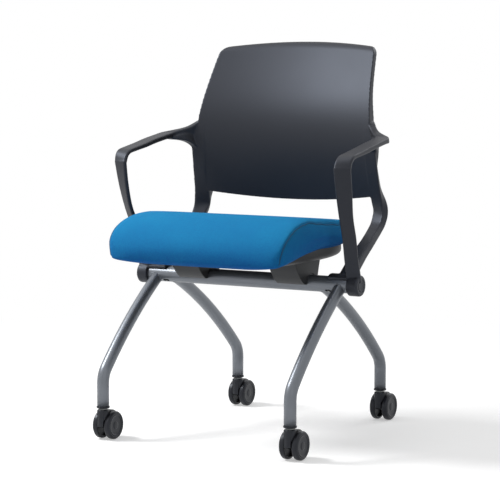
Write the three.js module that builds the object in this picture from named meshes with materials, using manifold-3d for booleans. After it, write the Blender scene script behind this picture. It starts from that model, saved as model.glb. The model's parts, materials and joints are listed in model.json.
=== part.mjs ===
// A nesting chair: four twin-wheel casters, bent legs welded to one cross tube, a seat that tips up about
// that tube, and a moulded back that runs into its two arms. Millimetres, +Z up, the front faces -Y.
import * as THREE from "three";
import { mergeVertices } from "three/addons/utils/BufferGeometryUtils.js";
import Module from "manifold-3d";

const wasm = await Module();
wasm.setup();

// Clearances and overruns
const seatGap = 0.3; // between two pieces that bear on each other
const runGap = 0.6; // between two pieces that turn on each other
const overrun = 3; // how far a cutting shape reaches past what it cuts
const weldDistance = 0.001; // vertices nearer than this are one vertex

// Cross tube
const tube = { radius: 17, wall: 2, half: 241.4, height: 329.2, setback: 12.5, sides: 36 };
const slot = { fromEnd: 44.6, length: 13, width: 6.4, turn: 35 }; // under each end, for a screw

// Legs, each in a plane of its own, inset from the tube's end; a sweep steepens by so many degrees
const leg = { radius: 12.7, wall: 1.6, socket: 46, foot: 71.3, sides: 16 };
const frontLeg = { inset: 19.2, reach: 219.4, rise: 3, sweepTurn: 13.4, bend: 48, past: 6, straight: 46.9 };
const rearLeg = { inset: 60.8, reach: 267, rise: -4.6, sweepTurn: 18, bend: 45, past: 4, straight: 43.6 };

// Casters
const wheel = { radius: 29.5, thickness: 13.1, trail: 17.7, between: 15.8, edge: 4, sides: 20 };
const wheelFace = { radius: 23, dish: 1.2, hub: 8, cup: 24.5, cupDepth: 7.6 };
const hood = { boss: 13, height: 61.8, chin: 28.5, root: 9, axleBoss: 8, tail: 12 };
const axle = { radius: 3, depth: 9 };
const stem = { radius: 5, collar: 8.5, grip: 34, depth: 22, sides: 14 };
const bush = { flange: 14, flangeHeight: 4.6, length: 42, lip: 1.2 };

// From here on heights are counted from the tube's axis
// Back shell, whose front is bowed in plan and runs through the arms as well
const back = { top: 499.8, topHalf: 190, corner: 28, crown: 10, foot: 169.8, sag: 14 };
const waist = { height: 329.8, half: 211.5 };
const bow = { setback: 186, centre: 325.8, bendRadius: 40, depth: 35, reach: 231 };
const bowShares = { lean: 0.11, curl: 0.345 };
const shell = { wall: 4.6, rim: 15.5, seam: 197, seamFoot: 203 };
const seamShares = { height: 0.69375 };

// Arms
const hub = { radius: 21.5, length: 26, headRadius: 9.5, headDepth: 9, edge: 2.4 };
const cap = { radius: 12.4, depth: 3 };
const arm = { thickness: 9, corner: 2.6 };
const post = { width: 23.5, topWidth: 32, twist: 31, topTwist: 21, footOut: 255 };
const elbow = { out: 266.8, reach: 74, height: 268.8, drop: 30, run: 32, rise: 4, steps: 6 };
const rest = { width: 32, thickness: 10.5, endOut: 212, endReach: 162.5, endHeight: 330.8, endTurn: 80 };
const strut = { width: 30, depth: 24, footOut: 230.5, footReach: 5, footHeight: 15.3 };
const knee = { out: 217.5, reach: 185.5, height: 140.8, turn: -30 };
const upright = { topOut: 212, topHeight: 316.8 };
const saddle = { inner: 197, thickness: 6.2, front: 143, rear: 42, taper: 8 };

// Fasteners in the tube's ends
const plug = { length: 56 };
const bolt = { radius: 4, head: 8.6, headHeight: 5, length: 42, socket: 3.2 };
const screw = { radius: 2.4, head: 5, headHeight: 2.6, length: 12 };

// Seat
const seat = { front: 220, rear: 196, half: 211, top: 134.5, foot: 48.7, sideFoot: 77.2 };
const seatSlope = { topShare: 0.095, footShare: 0.03 };
const seatForm = { middle: -10, fall: 136, fallDrop: 92, rearFall: 60, rearDrop: 12, skirtStart: -290, skirtEnd: 40 };
const seatSwell = { crown: 3.5, tuck: 5 };
const seatPower = { front: 16, rear: 3.4, side: 0.26, lift: 0.34, hemSide: 0.14, hemLift: 0.18 };
const panPower = { front: 5, rear: 2.7, side: 0.55, lift: 0.5 };
const pan = { inset: 19, frontInset: 34, rearInset: 37, floor: 43, rearRise: 7, top: 94.8 };
const panWalls = { floor: 4, rib: 3 };
const board = { inset: 44, frontInset: 62, rearInset: 80, corner: 60, thickness: 12, ledge: 12 };

// Hinge shoes under the seat
const shoe = { inner: 87, outer: 152, frontReach: 77, rearReach: 40, lip: 30.5, wall: 4.6, tip: 1 };
const hook = { jawTurn: 50, clawTurn: 186, steps: 16 };
const liner = { wall: 2, lip: 1.6 };
const lug = { length: 14, width: 7, height: 3.4, turn: 60, spare: 3 };
const travel = { open: 55 }; // degrees that the seat tips up

const colours = {
  plastic: { color: 0x303236, roughness: 0.55, metalness: 0 },
  steel: { color: 0x6f7a84, roughness: 0.42, metalness: 0.35 },
  zinc: { color: 0xb9bec4, roughness: 0.3, metalness: 0.9 },
  nylon: { color: 0x26272a, roughness: 0.4, metalness: 0 },
  fabric: { color: 0x1f86b8, roughness: 0.95, metalness: 0 },
  ply: { color: 0xb08d5e, roughness: 0.8, metalness: 0 },
};

const { sin, cos, abs, sign, sqrt, hypot, min, max, PI } = Math;
const radians = THREE.MathUtils.degToRad;
const rightAngle = 90;
const mix = THREE.MathUtils.lerp;
const smooth = THREE.MathUtils.smoothstep;
const point = (x, y, z) => new THREE.Vector3(x, y, z);

// Solids and their joins
function solidOf(geometry) {
  const loose = geometry.index ? geometry.toNonIndexed() : geometry;
  const bare = new THREE.BufferGeometry().setAttribute("position", loose.getAttribute("position"));
  const merged = mergeVertices(bare, weldDistance);
  const triVerts = new Uint32Array(merged.index.array);
  const vertProperties = merged.attributes.position.array;
  const solid = new wasm.Manifold(new wasm.Mesh({ numProp: 3, vertProperties, triVerts }));
  if (solid.volume() > 0) return solid;
  triVerts.reverse();
  return new wasm.Manifold(new wasm.Mesh({ numProp: 3, vertProperties, triVerts }));
}

function geometryOf(solid) {
  const mesh = solid.getMesh();
  const places = new Float32Array(mesh.numVert * 3);
  for (let i = 0; i < mesh.numVert; i++) {
    places.set(mesh.vertProperties.subarray(i * mesh.numProp, i * mesh.numProp + 3), i * 3);
  }
  const geometry = new THREE.BufferGeometry().setAttribute("position", new THREE.BufferAttribute(places, 3));
  geometry.setIndex(new THREE.BufferAttribute(mesh.triVerts, 1));
  geometry.computeVertexNormals();
  return geometry;
}

function join(...shapes) {
  return shapes.map(solidOf).reduce((all, next) => all.add(next));
}

function cut(solid, ...shapes) {
  return shapes.map(solidOf).reduce((left, next) => left.subtract(next), solid);
}

// Simple shapes
function rod(radius, from, to, axis, sides) {
  const length = to - from;
  const geometry = new THREE.CylinderGeometry(radius, radius, length, sides);
  geometry.translate(0, from + length / 2, 0);
  if (axis === "x") geometry.rotateZ(-PI / 2);
  if (axis === "z") geometry.rotateX(PI / 2);
  return geometry;
}

// A turned piece about the Z axis, or about X: its outline runs as pairs of radius and height.
function turned(outline, sides, axis = "z") {
  const geometry = new THREE.LatheGeometry(outline.map(([r, h]) => new THREE.Vector2(r, h)), sides);
  return axis === "x" ? geometry.rotateZ(-PI / 2) : geometry.rotateX(PI / 2);
}

function block(x0, x1, y0, y1, z0, z1) {
  const geometry = new THREE.BoxGeometry(x1 - x0, y1 - y0, z1 - z0);
  return geometry.translate((x0 + x1) / 2, (y0 + y1) / 2, (z0 + z1) / 2);
}

// A flat outline of y and z, drawn out along x.
function profile(outline, from, to) {
  const shape = new THREE.Shape(outline.map(([y, z]) => new THREE.Vector2(y, z)));
  const geometry = new THREE.ExtrudeGeometry(shape, { depth: to - from, bevelEnabled: false });
  const turn = new THREE.Matrix4().makeBasis(point(0, 1, 0), point(0, 0, 1), point(1, 0, 0));
  return geometry.applyMatrix4(turn).translate(from, 0, 0);
}

function arc(radius, from, to, steps) {
  return Array.from({ length: steps + 1 }, (_, i) => {
    const angle = radians(mix(from, to, i / steps));
    return [radius * cos(angle), radius * sin(angle)];
  });
}

// A closed skin over rings of points, with a fan over each end.
function skin(rings) {
  const count = rings[0].length;
  const places = rings.flat();
  const faces = [];
  for (let row = 0; row < rings.length - 1; row++) {
    for (let i = 0; i < count; i++) {
      const a = row * count + i;
      const b = row * count + ((i + 1) % count);
      faces.push(a, b, b + count, a, b + count, a + count);
    }
  }
  [rings[0], rings[rings.length - 1]].forEach((ring, end) => {
    const middle = ring.reduce((sum, p) => sum.add(p), point(0, 0, 0)).divideScalar(count);
    const first = end ? (rings.length - 1) * count : 0;
    const centre = places.push(middle) - 1;
    for (let i = 0; i < count; i++) {
      const pair = [first + i, first + ((i + 1) % count)];
      faces.push(centre, ...(end ? pair : pair.reverse()));
    }
  });
  return new THREE.BufferGeometry().setFromPoints(places).setIndex(faces);
}

// A flat bar with rounded corners: each station is a place on the middle of its face, the bar's width and
// depth there, and the turn of the width from the X axis.
function bar(stations, corner) {
  const rings = stations.map((station, i) => {
    const before = stations[max(i - 1, 0)].at;
    const after = stations[min(i + 1, stations.length - 1)].at;
    const across = point(cos(radians(station.turn)), sin(radians(station.turn)), 0);
    const inward = after.clone().sub(before).cross(across).normalize();
    return roundedSection(station.width, station.depth, corner).map(([u, v]) =>
      station.at.clone().addScaledVector(across, u).addScaledVector(inward, v),
    );
  });
  return skin(rings);
}

// A rectangle with rounded corners, as one quarter arc after another
function roundedSection(width, depth, corner) {
  const half = width / 2 - corner;
  const middles = [
    [half, depth - corner],
    [-half, depth - corner],
    [-half, corner],
    [half, corner],
  ];
  return middles.flatMap(([u, v], quarter) =>
    arc(corner, quarter * rightAngle, (quarter + 1) * rightAngle, 2).map(([a, b]) => [u + a, v + b]),
  );
}

// Cross tube with open ends and a screw slot under each
function crossTube() {
  const bore = tube.radius - tube.wall;
  const inside = [[bore, tube.half], [bore, -tube.half]];
  const outside = [[tube.radius, -tube.half], [tube.radius, tube.half]];
  let solid = solidOf(turned([...inside, ...outside, inside[0]], tube.sides, "x"));
  for (const side of [-1, 1]) solid = cut(solid, slotShape(side));
  return solid;
}

function slotShape(side) {
  const middle = side * (tube.half - slot.fromEnd);
  const straight = (slot.length - slot.width) / 2;
  const body = join(
    block(middle - straight, middle + straight, -slot.width / 2, slot.width / 2, -tube.radius - overrun, 0),
    rod(slot.width / 2, -tube.radius - overrun, 0, "z", 12).translate(middle - straight, 0, 0),
    rod(slot.width / 2, -tube.radius - overrun, 0, "z", 12).translate(middle + straight, 0, 0),
  );
  return geometryOf(body).rotateX(-radians(slot.turn));
}

// A leg's centre line in its own plane: a short overlap with the cross tube, a long sweep, one bend and a
// straight foot. Its steps stay where its corners are.
class LegLine extends THREE.Curve {
  constructor(form, facing) {
    super();
    const low = lowestSlope(form);
    const top = low - radians(form.sweepTurn);
    const sweepRadius = sweepRadiusOf(form, low);
    const landing = [0, tube.height + form.rise];
    const sweep = swung(landing, sweepRadius, top, low, 4);
    const bend = swung(sweep[sweep.length - 1], form.bend, low, PI / 2, 7);
    const start = [-form.past * cos(top), landing[1] + form.past * sin(top)];
    this.corners = [start, ...sweep, ...bend.slice(1), [form.reach, leg.foot]].map(([y, z]) =>
      point(0, y * facing, z),
    );
    this.steps = this.corners.length - 1;
  }
  getUtoTmapping(share) {
    return share;
  }
  getPoint(share) {
    const place = min(share, 1) * this.steps;
    const index = min(Math.floor(place), this.steps - 1);
    return this.corners[index].clone().lerp(this.corners[index + 1], place - index);
  }
}

function sweepRadiusOf(form, low) {
  const top = low - radians(form.sweepTurn);
  return (form.reach - form.bend * (1 - sin(low))) / (sin(low) - sin(top));
}

// The slope at which a sweep ends, found by halving so that the leg comes down to its straight foot
function lowestSlope(form) {
  const drop = tube.height + form.rise - leg.foot - form.straight;
  let flat = radians(form.sweepTurn);
  let steep = PI / 2;
  for (let halving = 0; halving < 40; halving++) {
    const low = (flat + steep) / 2;
    const top = low - radians(form.sweepTurn);
    const fall = sweepRadiusOf(form, low) * (cos(top) - cos(low)) + form.bend * cos(low);
    if (fall < drop) flat = low;
    else steep = low;
  }
  return (flat + steep) / 2;
}

// Points on an arc that starts at a place, with its slope below the horizontal going from one to another.
function swung([y, z], radius, from, to, steps) {
  return Array.from({ length: steps + 1 }, (_, i) => {
    const slope = mix(from, to, i / steps);
    return [y + radius * (sin(slope) - sin(from)), z - radius * (cos(from) - cos(slope))];
  });
}

function legTube(form, facing) {
  const line = new LegLine(form, facing);
  const ring = arc(leg.radius, 0, 360, leg.sides).slice(1);
  const round = new THREE.Shape(ring.map(([a, b]) => new THREE.Vector2(a, b)));
  const swept = new THREE.ExtrudeGeometry(round, { steps: line.steps, extrudePath: line });
  const saddleCut = rod(tube.radius + seatGap, -tube.half, tube.half, "x", tube.sides);
  const socket = rod(leg.radius - leg.wall, leg.foot - overrun, leg.foot + leg.socket, "z", leg.sides);
  saddleCut.translate(0, 0, tube.height);
  return cut(solidOf(swept), saddleCut, socket.translate(0, form.reach * facing, 0));
}

// Caster pieces, about the stem's axis and over the floor
const bushFoot = leg.foot - seatGap - bush.flangeHeight;
const axleHeight = wheel.radius;

function legBush() {
  const bore = stem.radius + seatGap;
  const sleeve = leg.radius - leg.wall - seatGap;
  const shoulder = bushFoot + bush.flangeHeight;
  const outline = [
    [bore, bushFoot],
    [bush.flange - bush.lip, bushFoot],
    [bush.flange, bushFoot + bush.lip],
    [bush.flange, shoulder],
    [sleeve, shoulder],
    [sleeve, bushFoot + bush.length - bush.lip],
    [sleeve - bush.lip, bushFoot + bush.length],
    [bore, bushFoot + bush.length],
  ];
  return solidOf(turned([...outline, outline[0]], stem.sides));
}

function stemPin() {
  const collarFoot = hood.height + runGap;
  const collarTop = bushFoot - seatGap;
  return solidOf(
    turned(
      [
        [0, hood.height - stem.depth],
        [stem.radius, hood.height - stem.depth],
        [stem.radius, collarFoot],
        [stem.collar, collarFoot],
        [stem.collar, collarTop],
        [stem.radius, collarTop],
        [stem.radius, bushFoot + stem.grip],
        [0, bushFoot + stem.grip],
      ],
      stem.sides,
    ),
  );
}

function wheelClearance(from, to) {
  const clear = rod(wheel.radius / cos(PI / wheel.sides) + runGap, from, to, "x", 2 * wheel.sides);
  return clear.translate(0, wheel.trail, axleHeight);
}

function casterHood() {
  const half = wheel.between / 2 - runGap;
  const guard = hood.height - axleHeight;
  const back = arc(guard, rightAngle, -hood.tail, 8).map(([y, z]) => [wheel.trail + y, axleHeight + z]);
  const web = [
    [-hood.boss, hood.chin],
    [hood.root - hood.boss, hood.chin],
    [wheel.trail - hood.axleBoss, axleHeight - hood.axleBoss],
    [wheel.trail + hood.axleBoss, axleHeight - hood.axleBoss],
    ...back.reverse(),
    [-hood.boss, hood.height],
  ];
  const boss = cut(
    solidOf(rod(hood.boss, hood.chin, hood.height, "z", 20)),
    wheelClearance(half, 2 * wheel.between),
    wheelClearance(-2 * wheel.between, -half),
  );
  const body = boss.add(solidOf(profile(web, -half, half)));
  const socketFoot = hood.height - stem.depth - runGap;
  const socket = rod(stem.radius + runGap, socketFoot, hood.height + overrun, "z", stem.sides);
  const bore = rod(axle.radius + seatGap, -2 * half, 2 * half, "x", 12);
  return cut(body, socket, bore.translate(0, wheel.trail, axleHeight));
}

function wheelAxle() {
  const reach = wheel.between / 2 + axle.depth;
  return solidOf(rod(axle.radius, -reach, reach, "x", 12).translate(0, wheel.trail, axleHeight));
}

// The wheel on the +X side, open behind and closed by its dished face outside
function casterWheel() {
  const tread = wheel.radius / cos(PI / wheel.sides);
  const bore = axle.radius + runGap;
  const face = wheel.thickness;
  const outline = [
    [0, axle.depth + runGap],
    [bore, axle.depth + runGap],
    [bore, 0],
    [wheelFace.hub, 0],
    [wheelFace.hub, wheelFace.cupDepth],
    [wheelFace.cup, wheelFace.cupDepth],
    [wheelFace.cup, wheel.edge / 4],
    [tread - wheel.edge / 4, wheel.edge / 4],
    [tread, wheel.edge],
    [tread, face - wheel.edge],
    [tread - wheel.edge * 0.3, face - wheel.edge * 0.3],
    [tread - wheel.edge, face],
    [wheelFace.radius, face],
    [wheelFace.radius - wheelFace.dish, face - wheelFace.dish],
    [0, face - wheelFace.dish],
  ];
  const round = turned(outline, wheel.sides, "x").rotateX(PI / wheel.sides);
  return solidOf(round.translate(wheel.between / 2, wheel.trail, axleHeight));
}

// Back shell: its front is bowed in plan, leans back above the waist and curls in below it
function frontAt(x, z) {
  const rise = z - bow.centre;
  const curl = bowShares.curl * (hypot(rise, bow.bendRadius) - bow.bendRadius);
  return bow.setback + bowShares.lean * rise + curl - bow.depth * (x / bow.reach) ** 2;
}

// Below this height the shell keeps to a seam inside the arms, and above it the shell widens to the waist
const seamHeight = mix(back.foot, waist.height, seamShares.height);

function backHalfWidth(z) {
  const corner = back.top - back.crown;
  if (z < waist.height) {
    const seam = mix(shell.seamFoot, shell.seam, smooth(z, back.foot, seamHeight));
    return mix(seam, waist.half, smooth(z, seamHeight, waist.height));
  }
  const side = mix(waist.half, back.topHalf, (z - waist.height) / (corner - waist.height));
  const over = max(z - (corner - back.corner), 0);
  return side - back.corner + sqrt(max(back.corner ** 2 - over ** 2, 0));
}

const shellShares = [0, 0.09, 0.18, 0.27, 0.36, 0.45, 0.54, 0.63, 0.72, 0.81, 0.9, 0.93, 0.96, 0.98, 0.992];

// A slab behind the bowed front, held in from the shell's outline all round, or grown by a negative inset.
function bowedSlab(inset, front, rear) {
  const corner = back.top - back.crown;
  const columns = 12;
  const low = back.foot + inset;
  const high = corner - inset;
  return skin(
    shellShares.map((share) => {
      const height = mix(low, high, share);
      const half = backHalfWidth(mix(back.foot, corner, share)) - inset;
      const across = [...Array(columns + 1).keys()].map((i) => (2 * i) / columns - 1);
      const place = (side, depth) => {
        const sagged = -back.sag * (1 - side ** 2) * (1 - share);
        const crowned = back.crown * (1 - side ** 2) * share;
        const z = height + sagged + crowned;
        return point(side * half, frontAt(side * half, z) + depth, z);
      };
      const nearRow = across.map((side) => place(side, front));
      const farRow = across.reverse().map((side) => place(side, rear));
      return [...nearRow, ...farRow];
    }),
  );
}

function backShell() {
  return cut(solidOf(bowedSlab(0, 0, shell.rim)), bowedSlab(shell.wall, shell.wall, shell.rim + overrun));
}

// Arms: a flat bar up from the hub, round the elbow and back over the shoulder into the shell's edge, and a
// second one from the hub up the strut and the shell's side.
const postShares = [
  { up: 0.02, reach: -0.13, out: 0, width: 0.92, turn: 0.3 },
  { up: 0.193, reach: 0.108, out: 0, width: 1, turn: 0.65 },
  { up: 0.364, reach: 0.36, out: 0.37, width: 1.02, turn: 0.8 },
  { up: 0.531, reach: 0.66, out: 0.75, width: 1.04, turn: 1 },
  { up: 0.71, reach: 0.86, out: 0.96, width: 1.19, turn: 0.87 },
];
const restShares = [
  { back: 0.23, up: 0.13, out: 0, width: 1, turn: 0, depth: 0.9 },
  { back: 0.36, up: 0.22, out: 0, width: 1, turn: 0, depth: 0.97 },
  { back: 0.5, up: 0.33, out: 0, width: 1, turn: 0, depth: 1 },
  { back: 0.69, up: 0.455, out: 0.02, width: 0.98, turn: 0, depth: 1.05 },
  { back: 0.79, up: 0.525, out: 0.075, width: 0.98, turn: -0.04, depth: 1.3 },
  { back: 0.84, up: 0.59, out: 0.28, width: 0.74, turn: 0.03, depth: 1.8 },
  { back: 0.895, up: 0.655, out: 0.52, width: 0.56, turn: 0.05, depth: 2.6 },
  { back: 0.94, up: 0.73, out: 0.715, width: 0.47, turn: 0.1, depth: 3 },
  { back: 0.97, up: 0.84, out: 0.865, width: 0.4, turn: 0.3, depth: 2.6 },
  { back: 0.985, up: 0.925, out: 0.935, width: 0.4, turn: 0.66, depth: 1.5 },
  { back: 1, up: 1, out: 1, width: 0.48, turn: 1, depth: 1.3 },
];

function postAndRest() {
  const stations = postShares.map((share) => ({
    at: point(
      mix(post.footOut, elbow.out, share.out),
      -elbow.reach * share.reach,
      mix(0, elbow.height, share.up),
    ),
    width: post.width * share.width,
    turn: post.twist * share.turn,
    depth: arm.thickness,
  }));
  const below = point(elbow.out, -elbow.reach, elbow.height - elbow.drop);
  const corner = point(elbow.out, -elbow.reach, elbow.height);
  const behind = point(elbow.out, elbow.run - elbow.reach, elbow.height + elbow.rise);
  const bend = new THREE.QuadraticBezierCurve3(below, corner, behind);
  for (let step = 0; step <= elbow.steps; step++) {
    const share = step / elbow.steps;
    stations.push({
      at: bend.getPoint(share),
      width: mix(post.topWidth, rest.width, share),
      turn: post.topTwist * (1 - share),
      depth: arm.thickness,
    });
  }
  for (const share of restShares) {
    stations.push({
      at: point(
        mix(elbow.out, rest.endOut, share.out),
        mix(-elbow.reach, rest.endReach, share.back),
        mix(elbow.height, rest.endHeight, share.up),
      ),
      width: rest.width * share.width,
      turn: rest.endTurn * share.turn,
      depth: rest.thickness * share.depth,
    });
  }
  return bar(stations, arm.corner);
}

const strutShares = [
  { back: 0, up: 0, out: 0, width: 1, turn: 0, depth: 0.8 },
  { back: 0.22, up: 0.239, out: 0.04, width: 0.96, turn: 0.13, depth: 0.78 },
  { back: 0.44, up: 0.418, out: 0.23, width: 0.95, turn: 0.4, depth: 0.7 },
  { back: 0.63, up: 0.566, out: 0.35, width: 0.97, turn: 0.65, depth: 0.66 },
  { back: 0.88, up: 0.761, out: 0.69, width: 0.95, turn: 0.57, depth: 0.66 },
  { back: 0.963, up: 0.896, out: 0.81, width: 1.03, turn: 0.75, depth: 0.7 },
  { back: 1, up: 1, out: 1, width: 1.12, turn: 1, depth: 0.72 },
];
const uprightShares = [
  { up: 0.093, out: 0.1, width: 1.07, turn: 0.75, depth: 0.68 },
  { up: 0.185, out: 0.2, width: 1, turn: 0.55, depth: 0.62 },
  { up: 0.43, out: 0.6, width: 0.97, turn: 0.43, depth: 0.42 },
  { up: 0.71, out: 1, width: 1, turn: 0.43, depth: 0.3 },
  { up: 0.86, out: 1, width: 1.03, turn: 0.45, depth: 0.3 },
  { up: 1, out: 1.2, width: 0.95, turn: 0.45, depth: 0.35 },
];

function strutAndUpright() {
  const sized = (share) => ({
    width: strut.width * share.width,
    turn: knee.turn * share.turn,
    depth: strut.depth * share.depth,
  });
  const stations = strutShares.map((share) => ({
    at: point(
      mix(strut.footOut, knee.out, share.out),
      mix(strut.footReach, knee.reach, share.back),
      mix(strut.footHeight, knee.height, share.up),
    ),
    ...sized(share),
  }));
  for (const share of uprightShares) {
    const out = mix(knee.out, upright.topOut, share.out);
    const z = mix(knee.height, upright.topHeight, share.up);
    stations.push({ at: point(out, frontAt(out, z), z), ...sized(share) });
  }
  return bar(stations, arm.corner);
}

const hubInner = tube.half + seatGap;
const hubOuter = hubInner + hub.length;

// A block over the tube's top that runs out to the hub
function tubeSaddle() {
  const over = arc(tube.radius + seatGap, saddle.front, saddle.rear, 8);
  const outside = arc(tube.radius + saddle.thickness, saddle.rear, saddle.front - saddle.taper, 8);
  return profile([...over, ...outside], saddle.inner, hubInner + hub.edge);
}

function hubBarrel() {
  const outline = [
    [0, hubInner],
    [hub.radius, hubInner],
    [hub.radius, hubOuter - hub.edge],
    [hub.radius - hub.edge, hubOuter],
    [0, hubOuter],
  ];
  return turned(outline, 28, "x");
}

// The right arm; the left one is its mirror image
function armFrame() {
  const onAxis = (geometry) => geometry.translate(0, tube.setback, 0);
  const body = join(postAndRest(), strutAndUpright(), onAxis(hubBarrel()), onAxis(tubeSaddle()));
  return cut(
    body,
    bowedSlab(-seatGap, -overrun, shell.rim + overrun),
    onAxis(rod(cap.radius + seatGap, hubOuter - cap.depth, hubOuter + overrun, "x", 20)),
    onAxis(rod(hub.headRadius, hubOuter - hub.headDepth, hubOuter + overrun, "x", 16)),
    onAxis(rod(bolt.radius + seatGap, hubInner - overrun, hubOuter, "x", 12)),
    onAxis(rod(tube.radius + seatGap, 0, hubInner, "x", tube.sides)),
  );
}

// Fasteners in the tube's ends, about the tube's axis
function endPlug() {
  const radius = tube.radius - tube.wall - seatGap;
  const body = rod(radius, tube.half - plug.length, tube.half - seatGap, "x", 20);
  const tapped = rod(bolt.radius + seatGap, tube.half - bolt.length, tube.half + overrun, "x", 12);
  return cut(solidOf(body), tapped, screwHole());
}

function screwAxis(geometry) {
  return geometry.translate(tube.half - slot.fromEnd, 0, 0).rotateX(-radians(slot.turn));
}

function screwHole() {
  const radius = screw.radius + seatGap;
  return screwAxis(rod(radius, -tube.radius - overrun, -tube.radius + screw.length + overrun, "z", 12));
}

function plugScrew() {
  const landing = tube.wall - tube.radius;
  const head = rod(screw.head / 2, landing - screw.headHeight, landing - seatGap, "z", 14);
  const shank = rod(screw.radius, landing - screw.headHeight, landing + screw.length, "z", 12);
  return solidOf(screwAxis(geometryOf(join(head, shank))));
}

function hubBolt() {
  const underHead = hubOuter - hub.headDepth + seatGap;
  const body = join(
    rod(bolt.radius, underHead - bolt.length, underHead + bolt.headHeight / 2, "x", 12),
    rod(bolt.head, underHead, underHead + bolt.headHeight, "x", 18),
  );
  const top = underHead + bolt.headHeight;
  const hexagon = rod(bolt.socket, top - bolt.headHeight / 2, top + overrun, "x", 6);
  return cut(body, hexagon);
}

function hubCap() {
  const outline = [
    [0, hubOuter - cap.depth + seatGap],
    [cap.radius, hubOuter - cap.depth + seatGap],
    [cap.radius, hubOuter - hub.edge / 2],
    [cap.radius - hub.edge, hubOuter],
    [0, hubOuter],
  ];
  return solidOf(turned(outline, 20, "x"));
}

// Seat: rings across the seat from front to rear, whose widths follow one rounded outline
function seatHalfWidth(y, inset = 0) {
  const forward = y < seatForm.middle;
  const reach = forward ? seat.front + seatForm.middle - inset : seat.rear - seatForm.middle - inset;
  const power = forward ? seatPower.front : seatPower.rear;
  const share = min(abs(y - seatForm.middle) / reach, 1);
  return (seat.half - inset) * (1 - share ** power) ** (1 / power);
}

function cushionTop(y) {
  const fallen = max(seatForm.fall - seat.front - y, 0) / seatForm.fall;
  const drop = seatForm.fallDrop * (1 - sqrt(max(1 - fallen ** 2, 0)));
  const behind = smooth(y, seat.rear - seatForm.rearFall, seat.rear);
  return seat.top - seatSlope.topShare * y - drop - seatForm.rearDrop * behind;
}

function cushionFoot(y) {
  const risen = smooth(y, seatForm.skirtStart, seatForm.skirtEnd);
  return mix(seat.foot, seat.sideFoot, risen) + seatSlope.footShare * max(y, 0);
}

const signed = (value, power) => sign(value) * abs(value) ** power;

const cushionShares = [0.004, 0.02, 0.05, 0.1, 0.17, 0.26, 0.37, 0.5, 0.63, 0.74, 0.83, 0.9, 0.95, 0.985];
const panShares = [0.01, 0.04, 0.11, 0.23, 0.4, 0.6, 0.78, 0.89, 0.96, 0.99];

function cushionForm() {
  const around = 28;
  return skin(
    cushionShares.map((share) => {
      const y = mix(-seat.front, seat.rear, share);
      const half = seatHalfWidth(y);
      const top = cushionTop(y);
      const foot = cushionFoot(y);
      return [...Array(around).keys()].map((i) => {
        const angle = (2 * PI * i) / around;
        const upper = sin(angle) > 0;
        const side = signed(cos(angle), upper ? seatPower.side : seatPower.hemSide);
        const lift = signed(sin(angle), upper ? seatPower.lift : seatPower.hemLift);
        const crown = lift > 0 ? seatSwell.crown * (1 - side ** 2) : 0;
        const tuck = lift < 0 ? seatSwell.tuck * lift * sign(side) * min(abs(side) * 2, 1) : 0;
        return point(side * half + tuck, y, mix(foot, top, (lift + 1) / 2) + crown - seatSwell.crown);
      });
    }),
  );
}

function panHalfWidth(y, grow) {
  const reach = y < seatForm.middle ? seat.front - pan.frontInset + grow : seat.rear - pan.rearInset + grow;
  const share = min(abs(y - seatForm.middle) / (reach + abs(seatForm.middle)), 1);
  const power = y < seatForm.middle ? panPower.front : panPower.rear;
  return (seat.half - pan.inset + grow) * (1 - share ** power) ** (1 / power);
}

function panForm(grow) {
  const front = -seat.front + pan.frontInset - grow;
  const rear = seat.rear - pan.rearInset + grow;
  const around = 20;
  return skin(
    panShares.map((share) => {
      const y = mix(front, rear, share);
      const half = panHalfWidth(y, grow);
      const floor = pan.floor + pan.rearRise * smooth(y, 0, seat.rear) - grow;
      return [...Array(around).keys()].map((i) => {
        const angle = (2 * PI * (i + 0.5)) / around;
        const side = signed(cos(angle), panPower.side);
        const lift = signed(sin(angle), panPower.lift);
        return point(side * half, y, mix(floor, pan.top + grow, (lift + 1) / 2));
      });
    }),
  );
}

function boardForm(grow, foot, top) {
  const shape = new THREE.Shape();
  const half = seat.half - board.inset + grow;
  const front = -seat.front + board.frontInset - grow;
  const rear = seat.rear - board.rearInset + grow;
  const corner = board.corner + grow;
  shape.moveTo(half - corner, front);
  shape.absarc(half - corner, front + corner, corner, -PI / 2, 0);
  shape.absarc(half - corner, rear - corner, corner, 0, PI / 2);
  shape.absarc(corner - half, rear - corner, corner, PI / 2, PI);
  shape.absarc(corner - half, front + corner, corner, PI, 1.5 * PI);
  const settings = { depth: top - foot, bevelEnabled: false, curveSegments: 5 };
  return new THREE.ExtrudeGeometry(shape, settings).translate(0, 0, foot);
}

const boardFoot = pan.top - board.thickness;

// The pan is a tray: a ledge for the board, and two hollows below it on each side of crossed ribs
function seatPan() {
  const floor = pan.floor + pan.rearRise + panWalls.floor;
  const hollow = boardForm(-board.ledge, floor, boardFoot + overrun);
  const lengthRib = block(-panWalls.rib, panWalls.rib, -seat.front, seat.rear, floor, boardFoot);
  const crossRib = block(-seat.half, seat.half, -panWalls.rib, panWalls.rib, floor, boardFoot);
  const bays = cut(solidOf(hollow), lengthRib, crossRib);
  const recess = boardForm(seatGap, boardFoot - seatGap, pan.top + overrun);
  return cut(solidOf(panForm(0)), recess, geometryOf(bays));
}

function seatBoard() {
  return solidOf(boardForm(0, boardFoot, pan.top));
}

function seatCushion() {
  return cut(solidOf(cushionForm()), panForm(seatGap), boardForm(seatGap, boardFoot, pan.top + seatGap));
}

// Hinge shoes: a block that carries the seat, hooked over the tube with a bearing liner inside
const linerInner = tube.radius + runGap;
const shoeBore = linerInner + liner.wall + seatGap;
const lugMiddle = (shoe.inner + shoe.outer) / 2;
const lugHalf = THREE.MathUtils.radToDeg(lug.width / 2 / tube.radius);

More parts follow.
